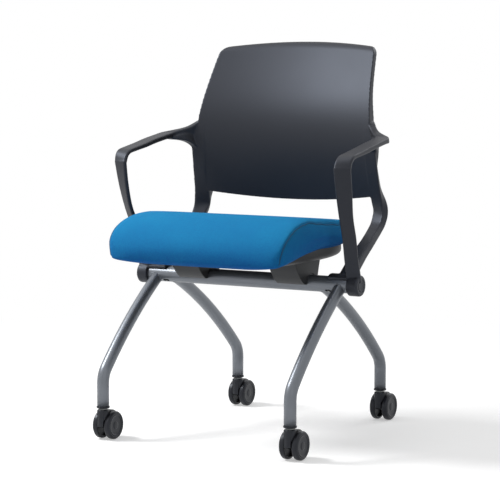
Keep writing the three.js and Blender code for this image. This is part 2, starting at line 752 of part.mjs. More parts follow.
const clawShares = [
  { reach: 1, up: 1 },
  { reach: 0.8, up: 0.55 },
  { reach: 0.59, up: 0.19 },
];
const jawShares = [
  { reach: 0.83, up: 0.58 },
  { reach: 0.96, up: 0.86 },
  { reach: 1, up: 1 },
];

function hingeShoe() {
  const top = pan.floor + pan.rearRise;
  const bore = arc(shoeBore, hook.clawTurn, -hook.jawTurn, hook.steps);
  const end = radians(hook.jawTurn);
  const jaw = jawShares.map(({ reach, up }) => [shoe.rearReach * reach, top * up]);
  const claw = clawShares.map(({ reach, up }) => [-shoe.frontReach * reach, top * up]);
  const outline = [
    ...bore,
    [(shoeBore + shoe.tip) * cos(end), -(shoeBore + shoe.tip) * sin(end)],
    [shoeBore + shoe.wall, 0],
    ...jaw,
    ...claw,
    [-shoe.lip, -shoe.tip],
  ];
  return cut(
    solidOf(profile(outline, shoe.inner, shoe.outer)),
    panForm(seatGap).translate(0, -tube.setback, 0),
    lugPocket(shoeBore - overrun, lug.height + tube.radius + runGap),
  );
}

// The space that the stop lug needs as the seat tips
function lugPocket(inner, outer) {
  const from = lug.turn - lugHalf - lug.spare;
  const to = lug.turn + travel.open + lugHalf + lug.spare;
  const outline = [...arc(inner, from, to, hook.steps), ...arc(outer, to, from, hook.steps)];
  return profile(outline, lugMiddle - lug.length / 2 - runGap, lugMiddle + lug.length / 2 + runGap);
}

function hingeLiner() {
  const inside = arc(linerInner, -hook.jawTurn, hook.clawTurn, hook.steps);
  const outside = arc(linerInner + liner.wall, hook.clawTurn, -hook.jawTurn, hook.steps);
  const body = solidOf(profile([...inside, ...outside], shoe.inner + liner.lip, shoe.outer - liner.lip));
  return cut(body, lugPocket(linerInner - overrun, linerInner + liner.wall + overrun));
}

function stopLug() {
  const inside = arc(tube.radius + seatGap, lug.turn - lugHalf, lug.turn + lugHalf, 3);
  const outside = arc(tube.radius + lug.height, lug.turn + lugHalf, lug.turn - lugHalf, 3);
  return solidOf(profile([...inside, ...outside], lugMiddle - lug.length / 2, lugMiddle + lug.length / 2));
}

// The chair
const chair = new THREE.Group();
chair.name = "nesting_chair";
const materials = Object.fromEntries(
  Object.entries(colours).map(([name, look]) => [name, new THREE.MeshStandardMaterial(look)]),
);

function add(name, solid, material, { x = 0, y = 0, z = 0, mirror = false } = {}) {
  const mesh = new THREE.Mesh(geometryOf(solid), materials[material]);
  mesh.name = name;
  mesh.position.set(x, y, z);
  mesh.scale.x = mirror ? -1 : 1;
  chair.add(mesh);
  return mesh;
}

add("cross_tube", crossTube(), "steel", { y: tube.setback, z: tube.height });

const corners = [
  { end: "front", form: frontLeg, facing: -1 },
  { end: "rear", form: rearLeg, facing: 1 },
];
const sides = [
  { side: "left", sign: -1 },
  { side: "right", sign: 1 },
];

for (const { end, form, facing } of corners) {
  const tubeSolid = legTube(form, facing);
  for (const { side, sign: hand } of sides) {
    const name = `${end}_${side}`;
    const place = { x: hand * (tube.half - form.inset), y: tube.setback + facing * form.reach };
    add(`leg_${name}`, tubeSolid, "steel", { x: place.x, y: tube.setback });
    add(`leg_bush_${name}`, legBush(), "nylon", place);
    add(`caster_stem_${name}`, stemPin(), "zinc", place);
    add(`caster_hood_${name}`, casterHood(), "nylon", place);
    add(`caster_axle_${name}`, wheelAxle(), "zinc", place);
    add(`wheel_${name}_inner`, casterWheel(), "nylon", { ...place, mirror: hand > 0 });
    add(`wheel_${name}_outer`, casterWheel(), "nylon", { ...place, mirror: hand < 0 });
  }
}

for (const { side, sign: hand } of sides) {
  const mirror = hand < 0;
  const onTube = { y: tube.setback, z: tube.height, mirror };
  add(`arm_${side}`, armFrame(), "plastic", { z: tube.height, mirror });
  add(`tube_plug_${side}`, endPlug(), "nylon", onTube);
  add(`plug_screw_${side}`, plugScrew(), "zinc", onTube);
  add(`hub_bolt_${side}`, hubBolt(), "zinc", onTube);
  add(`hub_cap_${side}`, hubCap(), "plastic", onTube);
  add(`hinge_shoe_${side}`, hingeShoe(), "plastic", onTube);
  add(`hinge_liner_${side}`, hingeLiner(), "nylon", onTube);
  add(`stop_lug_${side}`, stopLug(), "steel", onTube);
}

const overTube = { z: tube.height };
add("back_shell", backShell(), "plastic", overTube);
add("seat_pan", seatPan(), "plastic", overTube);
add("seat_board", seatBoard(), "ply", overTube);
add("seat_cushion", seatCushion(), "fabric", overTube);

// The origin lies on the floor under the middle of the chair's box
const middle = new THREE.Box3().setFromObject(chair).getCenter(point(0, 0, 0));
for (const mesh of chair.children) mesh.position.y -= middle.y;

export default chair;
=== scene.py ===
# Nesting chair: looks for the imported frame.
# The pieces' sizes are in millimetres. Those of materials, lamps and floor are in metres.
import json
import math
import time
import bmesh
import bpy
from mathutils import Matrix, Vector
from mathutils.bvhtree import BVHTree
from mathutils.kdtree import KDTree


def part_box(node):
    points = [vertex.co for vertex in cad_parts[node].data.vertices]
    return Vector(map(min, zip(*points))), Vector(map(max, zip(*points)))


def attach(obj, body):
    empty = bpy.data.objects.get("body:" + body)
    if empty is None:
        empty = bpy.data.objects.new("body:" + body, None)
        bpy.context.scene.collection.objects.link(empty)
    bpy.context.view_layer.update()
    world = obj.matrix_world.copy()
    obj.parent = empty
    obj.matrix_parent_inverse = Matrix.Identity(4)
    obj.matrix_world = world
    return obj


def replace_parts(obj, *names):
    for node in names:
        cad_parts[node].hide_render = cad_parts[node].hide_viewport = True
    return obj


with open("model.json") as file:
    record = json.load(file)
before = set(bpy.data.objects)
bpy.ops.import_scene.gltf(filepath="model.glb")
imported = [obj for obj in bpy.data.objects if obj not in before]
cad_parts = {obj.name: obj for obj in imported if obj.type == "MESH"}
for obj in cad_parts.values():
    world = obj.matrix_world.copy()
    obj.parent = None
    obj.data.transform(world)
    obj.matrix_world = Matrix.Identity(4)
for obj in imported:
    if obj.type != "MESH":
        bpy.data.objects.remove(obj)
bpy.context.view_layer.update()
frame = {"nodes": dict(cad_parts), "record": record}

mm = 0.001
tiny = 1e-6
began = time.time()


def report(*words):
    print(f"{time.time() - began:6.1f} s", *words, flush=True)


tubeLow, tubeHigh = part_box("cross_tube")
tubeMiddle = (tubeLow + tubeHigh) / 2
outlineStart = 12.5  # the measured outlines count y from this far before the tube
forward = tubeMiddle.y / mm - outlineStart
axisHeight = tubeMiddle.z / mm
report("frame loaded, tube axis at", round(tubeMiddle.y / mm, 2), round(axisHeight, 2))


def place(x, y, z):
    return Vector((x * mm, (y + forward) * mm, z * mm))


# Small tools

def mix(a, b, share):
    return a + (b - a) * share


def smoothStep(value, low, high):
    share = min(max((value - low) / (high - low), 0), 1)
    return share * share * (3 - 2 * share)


def signedPower(value, power):
    return math.copysign(abs(value) ** power, value)


def arcPoints(radius, start, end, steps):
    angles = [math.radians(mix(start, end, i / steps)) for i in range(steps + 1)]
    return [(radius * math.cos(a), radius * math.sin(a)) for a in angles]


def roundAngles(count, first=0):
    return [2 * math.pi * (i + first) / count for i in range(count)]


def easedShares(steps, first, last):
    # shares that lie closer together at both ends
    return [0.5 - 0.5 * math.cos(math.pi * mix(first, last, i / steps)) for i in range(steps + 1)]


def smoothRows(rows, steps):
    # Catmull-Rom through rows of numbers
    out = []
    for i in range(len(rows) - 1):
        a, b, c, d = rows[max(i - 1, 0)], rows[i], rows[i + 1], rows[min(i + 2, len(rows) - 1)]
        for step in range(steps):
            t = step / steps
            row = []
            for p, q, r, s in zip(a, b, c, d):
                curve = 2 * q + (r - p) * t + (2 * p - 5 * q + 4 * r - s) * t * t
                row.append((curve + (3 * q - p - 3 * r + s) * t ** 3) / 2)
            out.append(tuple(row))
    return out + [tuple(rows[-1])]


def loftFaces(rows, count, closed=False):
    faces = []
    for row in range(rows if closed else rows - 1):
        for i in range(count):
            a, b = row * count + i, row * count + (i + 1) % count
            c, d = ((row + 1) % rows) * count + (i + 1) % count, ((row + 1) % rows) * count + i
            faces.append((a, b, c, d))
    if not closed:
        faces.append(tuple(reversed(range(count))))
        faces.append(tuple(range((rows - 1) * count, rows * count)))
    return faces


def linkNew(name, data):
    made = bpy.data.objects.new(name, data)
    bpy.context.scene.collection.objects.link(made)
    return made


def newObject(name, points, faces, material=None, smooth=True):
    mesh = bpy.data.meshes.new(name)
    mesh.from_pydata([tuple(p) for p in points], [], faces)
    mesh.validate()
    piece = linkNew(name, mesh)
    faceOutwards(piece)
    if smooth:
        mesh.shade_smooth()
    if material:
        mesh.materials.append(material)
    return piece


def faceOutwards(piece):
    bm = bmesh.new()
    bm.from_mesh(piece.data)
    bmesh.ops.remove_doubles(bm, verts=bm.verts, dist=tiny)
    bmesh.ops.recalc_face_normals(bm, faces=bm.faces)
    if bm.calc_volume(signed=True) < 0:
        bmesh.ops.reverse_faces(bm, faces=bm.faces)
    bm.to_mesh(piece.data)
    bm.free()


def loft(name, rings, material=None, closed=False):
    points = [p for ring in rings for p in ring]
    return newObject(name, points, loftFaces(len(rings), len(rings[0]), closed), material)


def turnedPiece(name, outline, centre, axis, segments, material):
    # outline: pairs of radius and distance along the axis; a radius of zero is a pole
    rings, points, faces = [], [], []
    for radius, along in outline:
        if radius < tiny:
            rings.append([len(points)])
            points.append((0, 0, along))
        else:
            rings.append(list(range(len(points), len(points) + segments)))
            points += [(radius * math.cos(a), radius * math.sin(a), along) for a in roundAngles(segments)]
    pairs = list(zip(rings, rings[1:]))
    if outline[0][0] > tiny and outline[-1][0] > tiny:
        pairs.append((rings[-1], rings[0]))
    for low, high in pairs:
        for i in range(segments):
            j = (i + 1) % segments
            face = [low[i % len(low)], low[j % len(low)], high[j % len(high)], high[i % len(high)]]
            faces.append(tuple(dict.fromkeys(face)))
    turn = {"x": Matrix.Rotation(math.pi / 2, 3, "Y"), "z": Matrix.Identity(3)}[axis]
    points = [centre + (turn @ Vector(p)) * mm for p in points]
    return newObject(name, points, [f for f in faces if len(f) > 2], material)


def softOutline(outline, radius, steps=4):
    # rounds the corners of an open outline of radius and height pairs
    sideShare = 0.45  # the most of a side that one corner takes
    out = [outline[0]]
    for before, corner, after in zip(outline, outline[1:], outline[2:]):
        a, b, c = Vector(before), Vector(corner), Vector(after)
        reach = min(radius, (b - a).length * sideShare, (c - b).length * sideShare)
        start, end = b + (a - b).normalized() * reach, b + (c - b).normalized() * reach
        for i in range(steps + 1):
            t = i / steps
            out.append(tuple(start * (1 - t) ** 2 + b * 2 * t * (1 - t) + end * t * t))
    return out + [outline[-1]]


def sweptTube(name, path, radius, sides, material, closed=False):
    rings = []
    normal = None
    for i, spot in enumerate(path):
        ahead = path[(i + 1) % len(path)] if closed else path[min(i + 1, len(path) - 1)]
        behind = path[i - 1] if closed or i else path[0]
        along = (ahead - behind).normalized()
        if normal is None:
            normal = along.orthogonal().normalized()
        normal = (normal - along * normal.dot(along)).normalized()
        other = along.cross(normal)
        rings.append([spot + (normal * math.cos(a) + other * math.sin(a)) * radius * mm
                      for a in roundAngles(sides)])
    return loft(name, rings, material, closed)


def sideProfile(name, outline, fromX, toX, material, edge=0.8):
    # an outline of y and z about the tube's axis, drawn out along x, with its edges eased
    rings = [[Vector((x * mm, tubeMiddle.y + y * mm, tubeMiddle.z + z * mm)) for y, z in outline]
             for x in (fromX, toX)]
    piece = loft(name, rings, material)
    easeEdges(piece, edge)
    return piece


def easeEdges(piece, width, angle=32, segments=3):
    bevel = piece.modifiers.new("ease", "BEVEL")
    bevel.width = width * mm
    bevel.segments = segments
    bevel.limit_method = "ANGLE"
    bevel.angle_limit = math.radians(angle)
    bevel.harden_normals = True
    settle(piece)


def meltPiece(piece, voxel):
    # one even skin over all that the piece holds
    remesh = piece.modifiers.new("melt", "REMESH")
    remesh.mode, remesh.voxel_size = "VOXEL", voxel * mm


def softenPiece(piece, times):
    soften = piece.modifiers.new("soften", "SMOOTH")
    soften.factor, soften.iterations = 0.5, times


def settle(piece):
    # the modifiers' result becomes the piece's own mesh
    depsgraph = bpy.context.evaluated_depsgraph_get()
    mesh = bpy.data.meshes.new_from_object(piece.evaluated_get(depsgraph))
    piece.modifiers.clear()
    piece.data = mesh
    return piece


def cutBy(piece, *cutters):
    for cutter in cutters:
        boolean = piece.modifiers.new("cut", "BOOLEAN")
        boolean.operation = "DIFFERENCE"
        boolean.solver = "EXACT"
        boolean.object = cutter
        settle(piece)
        bpy.data.objects.remove(cutter)
    return piece


def mirrored(piece, name):
    mesh = piece.data.copy()
    mesh.transform(Matrix.Scale(-1, 4, (1, 0, 0)))
    twin = linkNew(name, mesh)
    faceOutwards(twin)
    return twin


def bothSides(make, stem, body, nodes=()):
    # the right-hand piece and its mirror image
    right = make(stem + "_right")
    left = mirrored(right, stem + "_left")
    for piece, side in ((right, "right"), (left, "left")):
        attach(piece, body)
        if nodes:
            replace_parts(piece, *[node + "_" + side for node in nodes])
    return right, left


# Materials

def bothWays(operation):
    # an operator and its reflected form
    def plain(wire, other):
        return wire.maths(operation, wire, other)

    def reflected(wire, other):
        return wire.maths(operation, other, wire)

    return plain, reflected


class Wire:
    # a node's output that Python's operators can work on
    def __init__(self, paint, socket):
        self.paint, self.socket = paint, socket

    def maths(self, operation, *values):
        return self.paint.node("ShaderNodeMath", {"operation": operation}, dict(enumerate(values)))

    __add__, __radd__ = bothWays("ADD")
    __sub__, __rsub__ = bothWays("SUBTRACT")
    __mul__, __rmul__ = bothWays("MULTIPLY")
    __truediv__, __rtruediv__ = bothWays("DIVIDE")

    def sine(self):
        return self.maths("SINE", self)

    def size(self):
        return self.maths("ABSOLUTE", self)

    def most(self, other):
        return self.maths("MAXIMUM", self, other)

    def above(self, other):
        return self.maths("GREATER_THAN", self, other)

    def limited(self):
        return self.paint.node("ShaderNodeClamp", {}, {"Value": self})


coatSockets = {"metallic": "Metallic", "shine": "Specular IOR Level", "tint": "Specular Tint"}


class Paint:
    def __init__(self, name):
        self.material = bpy.data.materials.new(name)
        self.material.use_nodes = True
        self.nodes = self.material.node_tree.nodes
        self.links = self.material.node_tree.links
        self.nodes.clear()

    def node(self, kind, settings=None, values=None, output=0):
        made = self.nodes.new(kind)
        for key, value in (settings or {}).items():
            setattr(made, key, value)
        for key, value in (values or {}).items():
            socket = made.inputs[key]
            if isinstance(value, Wire):
                self.links.new(value.socket, socket)
            else:
                socket.default_value = (*value, 1) if socket.type == "RGBA" and len(value) == 3 else value
        return Wire(self, made.outputs[output])

    def finish(self, surface):
        out = self.nodes.new("ShaderNodeOutputMaterial")
        self.links.new(surface.socket, out.inputs["Surface"])
        return self.material

    def where(self):
        return self.node("ShaderNodeTexCoord", output="Object")

    def noise(self, scale, detail=3, rough=0.5):
        values = {"Vector": self.where(), "Scale": scale, "Detail": detail, "Roughness": rough}
        return self.node("ShaderNodeTexNoise", {}, values)

    def mixed(self, factor, low, high):
        values = {"Factor": factor, 6: low, 7: high}
        return self.node("ShaderNodeMix", {"data_type": "RGBA"}, values, 2)

    def bump(self, height, distance, strength=1.0, under=None):
        values = {"Height": height, "Distance": distance, "Strength": strength}
        if under:
            values["Normal"] = under
        return self.node("ShaderNodeBump", {}, values)

    def coat(self, look, tone, roughness, normal=None):
        # the finished material: from dark to pale by the tone
        values = {"Base Color": self.mixed(tone, look["dark"], look["pale"]), "Roughness": roughness}
        if normal:
            values["Normal"] = normal
        values.update({socket: look[key] for key, socket in coatSockets.items() if key in look})
        return self.finish(self.node("ShaderNodeBsdfPrincipled", {}, values))


def plasticPaint(name, look):
    # a fine moulded grain over a slow change of tone
    paint = Paint(name)
    grain = paint.noise(look["grain"], 2, look["crisp"])
    cloud = paint.noise(look["cloud"])
    height = grain
    if "pits" in look:
        pits = paint.node("ShaderNodeTexVoronoi", {}, {"Vector": paint.where(), "Scale": look["pits"]})
        height = grain * look["grainShare"] + pits * look["pitShare"]
    middle = look["roughness"] - (look["grainSpread"] + look["cloudSpread"]) / 2
    roughness = grain * look["grainSpread"] + cloud * look["cloudSpread"] + middle
    return paint.coat(look, cloud, roughness, paint.bump(height, look["depth"], look["relief"]))


mouldedPlastic = {
    "dark": (0.0115, 0.0102, 0.0105), "pale": (0.0152, 0.014, 0.0148), "shine": 0.5, "tint": (0.7, 0.8, 1.0),
    "roughness": 0.5, "grainSpread": 0.1, "cloudSpread": 0.06, "grain": 1500, "crisp": 0.6, "cloud": 9,
    "pits": 900, "grainShare": 0.6, "pitShare": 0.5, "depth": 0.00012, "relief": 0.55,
}
shoePlastic = {
    "dark": (0.015, 0.0148, 0.0152), "pale": (0.022, 0.0212, 0.0215), "shine": 0.4,
    "tint": (0.85, 0.92, 1.0), "roughness": 0.52, "grainSpread": 0.12, "cloudSpread": 0, "grain": 1100,
    "crisp": 0.6, "cloud": 16, "depth": 0.00012, "relief": 0.5,
}
casterNylon = {
    "dark": (0.009, 0.009, 0.0115), "pale": (0.014, 0.0145, 0.0185), "shine": 0.34,
    "tint": (0.85, 0.91, 1.0), "roughness": 0.38, "grainSpread": 0.08, "cloudSpread": 0.1, "grain": 900,
    "crisp": 0.5, "cloud": 60, "depth": 0.00008, "relief": 0.4,
}


def paintedSteel():
    look = {"dark": (0.158, 0.172, 0.194), "pale": (0.2, 0.216, 0.242), "metallic": 0.55, "roughness": 0.36,
            "peel": 420, "cloud": 14, "flake": 5200, "cloudShare": 0.6, "flakeShare": 0.5, "shift": 0.05,
            "cloudSpread": 0.08, "flakeSpread": 0.06, "depth": 0.00006, "relief": 0.5}
    paint = Paint("silver paint on steel")
    cloud = paint.noise(look["cloud"])
    flake = paint.noise(look["flake"], 1, 0.4)
    tone = (cloud * look["cloudShare"] + flake * look["flakeShare"] - look["shift"]).limited()
    middle = look["roughness"] - (look["cloudSpread"] + look["flakeSpread"]) / 2
    roughness = cloud * look["cloudSpread"] + flake * look["flakeSpread"] + middle
    normal = paint.bump(paint.noise(look["peel"], 2), look["depth"], look["relief"])
    return paint.coat(look, tone, roughness, normal)


def zincPlate():
    look = {"dark": (0.16, 0.17, 0.17), "pale": (0.24, 0.25, 0.25), "metallic": 1.0, "smoothest": 0.36,
            "spread": 0.12, "cloud": 120, "grain": 900, "depth": 0.00004, "relief": 0.4}
    paint = Paint("zinc plate")
    cloud = paint.noise(look["cloud"])
    normal = paint.bump(paint.noise(look["grain"], 2), look["depth"], look["relief"])
    return paint.coat(look, cloud, cloud * look["spread"] + look["smoothest"], normal)


def plywood():
    look = {"dark": (0.36, 0.24, 0.12), "pale": (0.52, 0.37, 0.2), "layers": 4200, "smoothest": 0.7,
            "spread": 0.1}
    paint = Paint("plywood")
    height = paint.node("ShaderNodeSeparateXYZ", {}, {"Vector": paint.where()}, 2)
    layers = (height * look["layers"]).sine() * 0.5 + 0.5
    return paint.coat(look, layers, layers * look["spread"] + look["smoothest"])


def seamThread():
    look = {"dark": (0.004, 0.055, 0.125), "pale": (0.01, 0.115, 0.23), "twist": 1500, "smoothest": 0.8,
            "spread": 0.1, "depth": 0.0003, "relief": 0.6}
    paint = Paint("seam thread")
    twist = paint.noise(look["twist"], 2)
    normal = paint.bump(twist, look["depth"], look["relief"])
    return paint.coat(look, twist, twist * look["spread"] + look["smoothest"], normal)


def wovenFabric():
    # a plain weave in three planes, each shown where the cloth faces it, with painted light and shade by which
    # way the cloth faces
    look = {"dark": (0.004, 0.088, 0.34), "pale": (0.017, 0.305, 0.575), "shine": 0.12, "roughness": 0.88,
            "spread": 0.1, "thread": 1.1, "paintedUpLight": 0.34, "paintedUpLightLevel": 0.45, "slub": 260, "cloud": 11,
            "weaveShare": 0.55, "slubShare": 0.45, "cloudShare": 0.35,
            "depth": 0.00045, "relief": 0.55, "slubDepth": 0.0006, "slubRelief": 0.35}
    paint = Paint("blue woven fabric")
    pitch = 2 * math.pi / (look["thread"] * mm)
    x, y, z = (paint.node("ShaderNodeSeparateXYZ", {}, {"Vector": paint.where()}, i) for i in range(3))
    facing = paint.node("ShaderNodeTexCoord", output="Normal")
    up = paint.node("ShaderNodeSeparateXYZ", {}, {"Vector": facing}, 2)
    fx, fy, fz = (paint.node("ShaderNodeSeparateXYZ", {}, {"Vector": facing}, i).size() for i in range(3))

    def weave(u, v):
        # over and under: the warp shows where the weft dips
        over = ((u * (pitch / 2)).sine() * (v * (pitch / 2)).sine()) * 0.5 + 0.5
        warp = (u * pitch).sine() * 0.5 + 0.5
        weft = (v * pitch).sine() * 0.5 + 0.5
        return over * warp + (1 - over) * weft

    onTop = fz.above(fx.most(fy))
    onFront = fy.above(fx) * (1 - onTop)
    onSide = (1 - onTop) * (1 - onFront)
    cloth = weave(x, y) * onTop + weave(x, z) * onFront + weave(y, z) * onSide
    slub = paint.noise(look["slub"], 3, 0.6)
    cloud = paint.noise(look["cloud"], 4, 0.6)
    # painted light and shade: faces that look up are paler, faces that look sideways or down are darker
    paintedUpLight = (up - look["paintedUpLightLevel"]) * look["paintedUpLight"]
    threads = cloth * look["weaveShare"] + slub * look["slubShare"]
    tone = (threads + (cloud - 0.5) * look["cloudShare"] + paintedUpLight).limited()
    roughness = slub * look["spread"] + (look["roughness"] - look["spread"] / 2)
    under = paint.bump(slub, look["slubDepth"], look["slubRelief"])
    return paint.coat(look, tone, roughness, paint.bump(cloth, look["depth"], look["relief"], under))


def paleFloor():
    # the camera sees a little more white than the lamps give, and pure white far from the chair
    look = {"colour": (0.8, 0.8, 0.8), "glow": 0.42, "near": 0.75, "far": 1.9}
    paint = Paint("pale floor")
    diffuse = paint.node("ShaderNodeBsdfDiffuse", {}, {"Color": look["colour"]})
    glow = paint.node("ShaderNodeEmission", {}, {"Color": (1, 1, 1), "Strength": look["glow"]})
    white = paint.node("ShaderNodeEmission", {}, {"Color": (1, 1, 1), "Strength": 1.0})
    both = paint.node("ShaderNodeAddShader", {}, {0: diffuse, 1: glow})
    away = paint.node("ShaderNodeVectorMath", {"operation": "LENGTH"}, {0: paint.where()}, 1)
    distant = ((away - look["near"]) / (look["far"] - look["near"])).limited()
    openFloor = paint.node("ShaderNodeMixShader", {}, {0: distant, 1: both, 2: white})
    kinds = ("Is Camera Ray", "Is Glossy Ray", "Is Transmission Ray")
    camera, glossy, through = (paint.node("ShaderNodeLightPath", output=kind) for kind in kinds)
    factor = camera.most(glossy).most(through)
    return paint.finish(paint.node("ShaderNodeMixShader", {}, {0: factor, 1: diffuse, 2: openFloor}))


plastic = plasticPaint("moulded plastic", mouldedPlastic)
shoePaint = plasticPaint("shoe plastic", shoePlastic)
nylon = plasticPaint("caster nylon", casterNylon)
steel, zinc, board = paintedSteel(), zincPlate(), plywood()
fabric, thread = wovenFabric(), seamThread()
report("materials made")


# Rows of small pieces along a path, by geometry nodes

def rowAlong(name, path, bead, spacing, material, closed=False):
    # beads at a spacing along the path, turned with it
    tree = bpy.data.node_groups.new(name + " row", "GeometryNodeTree")
    tree.interface.new_socket("Path", in_out="INPUT", socket_type="NodeSocketGeometry")
    sockets = {}
    for label, kind in (("Spacing", "Float"), ("Bead", "Object"), ("Finish", "Material")):
        sockets[label] = tree.interface.new_socket(label, in_out="INPUT", socket_type="NodeSocket" + kind)
    tree.interface.new_socket("Row", in_out="OUTPUT", socket_type="NodeSocketGeometry")
    start, end = tree.nodes.new("NodeGroupInput"), tree.nodes.new("NodeGroupOutput")
    kinds = ("MeshToCurve", "CurveToPoints", "ObjectInfo", "InstanceOnPoints", "RealizeInstances",
             "SetMaterial")
    toCurve, spots, info, sow, real, finish = (tree.nodes.new("GeometryNode" + kind) for kind in kinds)
    spots.mode = "LENGTH"
    joins = (
        (start, "Path", toCurve, "Mesh"), (toCurve, "Curve", spots, "Curve"), (start, "Spacing", spots, "Length"),
        (start, "Bead", info, "Object"), (spots, "Points", sow, "Points"), (spots, "Rotation", sow, "Rotation"),
        (info, "Geometry", sow, "Instance"), (sow, "Instances", real, "Geometry"),
        (real, "Geometry", finish, "Geometry"), (start, "Finish", finish, "Material"),
        (finish, "Geometry", end, "Row"),
    )
    for giver, outlet, taker, inlet in joins:
        tree.links.new(giver.outputs[outlet], taker.inputs[inlet])
    mesh = bpy.data.meshes.new(name)
    edges = [(i, i + 1) for i in range(len(path) - 1)] + ([(len(path) - 1, 0)] if closed else [])
    mesh.from_pydata([tuple(p) for p in path], edges, [])
    piece = linkNew(name, mesh)
    modifier = piece.modifiers.new("row", "NODES")
    modifier.node_group = tree
    for label, value in (("Spacing", spacing * mm), ("Bead", bead), ("Finish", material)):
        modifier[sockets[label].identifier] = value
    settle(piece)
    piece.data.materials.clear()
    piece.data.materials.append(material)
    piece.data.shade_smooth()
    return piece


def beadShape(name, length, width, height):
    # a small closed grain that the rows repeat, long in z
    rings = []
    for i in range(5):
        angle = math.pi * (i + 0.5) / 5
        along, girth = -math.cos(angle) * length / 2, math.sin(angle) / 2
        rings.append([Vector((math.cos(a) * girth * width, math.sin(a) * girth * height, along)) * mm
                      for a in roundAngles(8)])
    return loft(name, rings)


# Frame of tube

tubeSize = {"radius": 17, "wall": 2, "half": 241.4, "edge": 0.5, "ease": 0.3, "segments": 96}
slotSize = {"middle": 196.8, "length": 15, "width": 8, "turn": 40, "from": 10, "to": 21}


def crossTube():
    bore, radius, half = tubeSize["radius"] - tubeSize["wall"], tubeSize["radius"], tubeSize["half"]
    outline = [(bore, half), (bore, -half), (radius, -half), (radius, half), (bore, half), (bore, -half)]
    outline = softOutline(outline, tubeSize["edge"], 2)[1:-1]
    tube = turnedPiece("tube_skin", outline, tubeMiddle, "x", tubeSize["segments"], steel)
    turn = Matrix.Rotation(-math.radians(slotSize["turn"]), 3, "X")
    for side in (-1, 1):
        rings = []
        for along in (slotSize["from"], slotSize["to"]):
            ring = []
            for end, start in ((1, -90), (-1, 90)):
                middle = side * slotSize["middle"] + end * (slotSize["length"] - slotSize["width"]) / 2
                for x, y in arcPoints(slotSize["width"] / 2, start, start + 180, 8):
                    ring.append((middle + x, y, -along))
            rings.append([tubeMiddle + (turn @ Vector(p)) * mm for p in ring])
        cutBy(tube, loft("slot cutter", rings))
    easeEdges(tube, tubeSize["ease"], 50, 2)
    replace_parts(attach(tube, "frame"), "cross_tube")


legSize = {"radius": 12.7, "foot": 71.3, "sides": 40, "steps": 24}
legForms = {
    "front": {"spread": 222.2, "reach": 219.4, "ahead": 5, "rise": -4.4, "top": 33.6, "low": 48, "bend": 48,
              "past": 6, "facing": -1},
    "rear": {"spread": 180.6, "reach": 267, "ahead": 0, "rise": -4.6, "top": 26, "low": 44, "bend": 45,
             "past": 4, "facing": 1},
}
weldSize = {"grain": (2.25, 1.875, 1.875), "spacing": 1.2, "points": 72, "reach": 60, "halvings": 30}


def swungPath(start, radius, first, last):
    # an arc on which the slope goes from the first to the last angle
    out = []
    for i in range(legSize["steps"] + 1):
        slope = mix(first, last, i / legSize["steps"])
        ahead, down = math.sin(slope) - math.sin(first), math.cos(first) - math.cos(slope)
        out.append((start[0] + radius * ahead, start[1] - radius * down))
    return out


def legPath(form):
    # from inside the cross tube, down on a wide sweep and a tight bend to the foot
    top, low = math.radians(form["top"]), math.radians(form["low"])
    reach = form["reach"] - form["ahead"] - form["bend"] * (1 - math.sin(low))
    sweep = reach / (math.sin(low) - math.sin(top))
    landing = (form["ahead"], axisHeight + form["rise"])
    path = [(landing[0] - form["past"] * math.cos(top), landing[1] + form["past"] * math.sin(top))]
    path += swungPath(landing, sweep, top, low)
    path += swungPath(path[-1], form["bend"], low, math.pi / 2)[1:]
    path.append((form["reach"], legSize["foot"]))
    return [Vector((form["spread"] * mm, tubeMiddle.y + y * form["facing"] * mm, z * mm)) for y, z in path]


def weldLine(path):
    # the leg's outline where it meets the cross tube
    start, along = path[1], (path[3] - path[0]).normalized()
    across = Vector((1, 0, 0))
    other = along.cross(across)
    line = []
    for angle in roundAngles(weldSize["points"]):
        onRim = start + (across * math.cos(angle) + other * math.sin(angle)) * legSize["radius"] * mm
        # slide along the leg to the cross tube's surface
        low, high = 0, weldSize["reach"] * mm
        for _ in range(weldSize["halvings"]):
            middle = (low + high) / 2
            spot = onRim + along * middle
            inside = math.hypot(spot.y - tubeMiddle.y, spot.z - tubeMiddle.z) < tubeSize["radius"] * mm
            low, high = (middle, high) if inside else (low, middle)
        line.append(onRim + along * low)
    return line


def legWithWeld(end):
    path = legPath(legForms[end])
    line = weldLine(path)
    bead = beadShape("weld grain", *weldSize["grain"])

    def makeLeg(name):
        return sweptTube(name, path, legSize["radius"], legSize["sides"], steel)

    def makeWeld(name):
        return rowAlong(name, line, bead, weldSize["spacing"], steel, closed=True)

    bothSides(makeLeg, f"leg_skin_{end}", "frame", [f"leg_{end}"])
    bothSides(makeWeld, f"weld_{end}", "frame")
    bpy.data.objects.remove(bead)


crossTube()
for end in legForms:
    legWithWeld(end)
report("tube frame made")


# Casters

wheelSize = {"radius": 29.5, "thickness": 13.1, "trail": 17.7, "between": 15.8, "round": 0.9, "segments": 96}
# pairs of radius and distance: from the inner face up to the tread, and then from the outer face
wheelInside = [(0, 9.6), (3.6, 9.6), (3.6, 0), (8, 0), (8, 7.6), (24.5, 7.6), (24.5, 0.8), (28.4, 0.8),
               (29.5, 3.4)]
wheelOutside = [(29.5, 3.4), (27.4, 0.7), (25.4, 0), (24.2, 0), (23.6, 0.9), (22.9, 0.9), (22.4, 0.1),
                (20.6, 0.1), (19.4, 1.3), (8.5, 1.7), (7.2, 0.8), (0, 0.5)]


def casterPlace(end, side):
    form = legForms[end]
    return (form["spread"] * side, outlineStart + form["facing"] * form["reach"])


def wheelPiece(name, end, side, outward):
    size = wheelSize
    x, y = casterPlace(end, side)
    inner = size["between"] / 2
    outline = wheelInside + [(radius, size["thickness"] - deep) for radius, deep in wheelOutside]
    rounded = softOutline(outline, size["round"], 3)
    outline = [(radius, outward * (inner + along)) for radius, along in rounded]
    hub = place(x, y + size["trail"], size["radius"])
    return turnedPiece(name, outline, hub, "x", size["segments"], nylon)


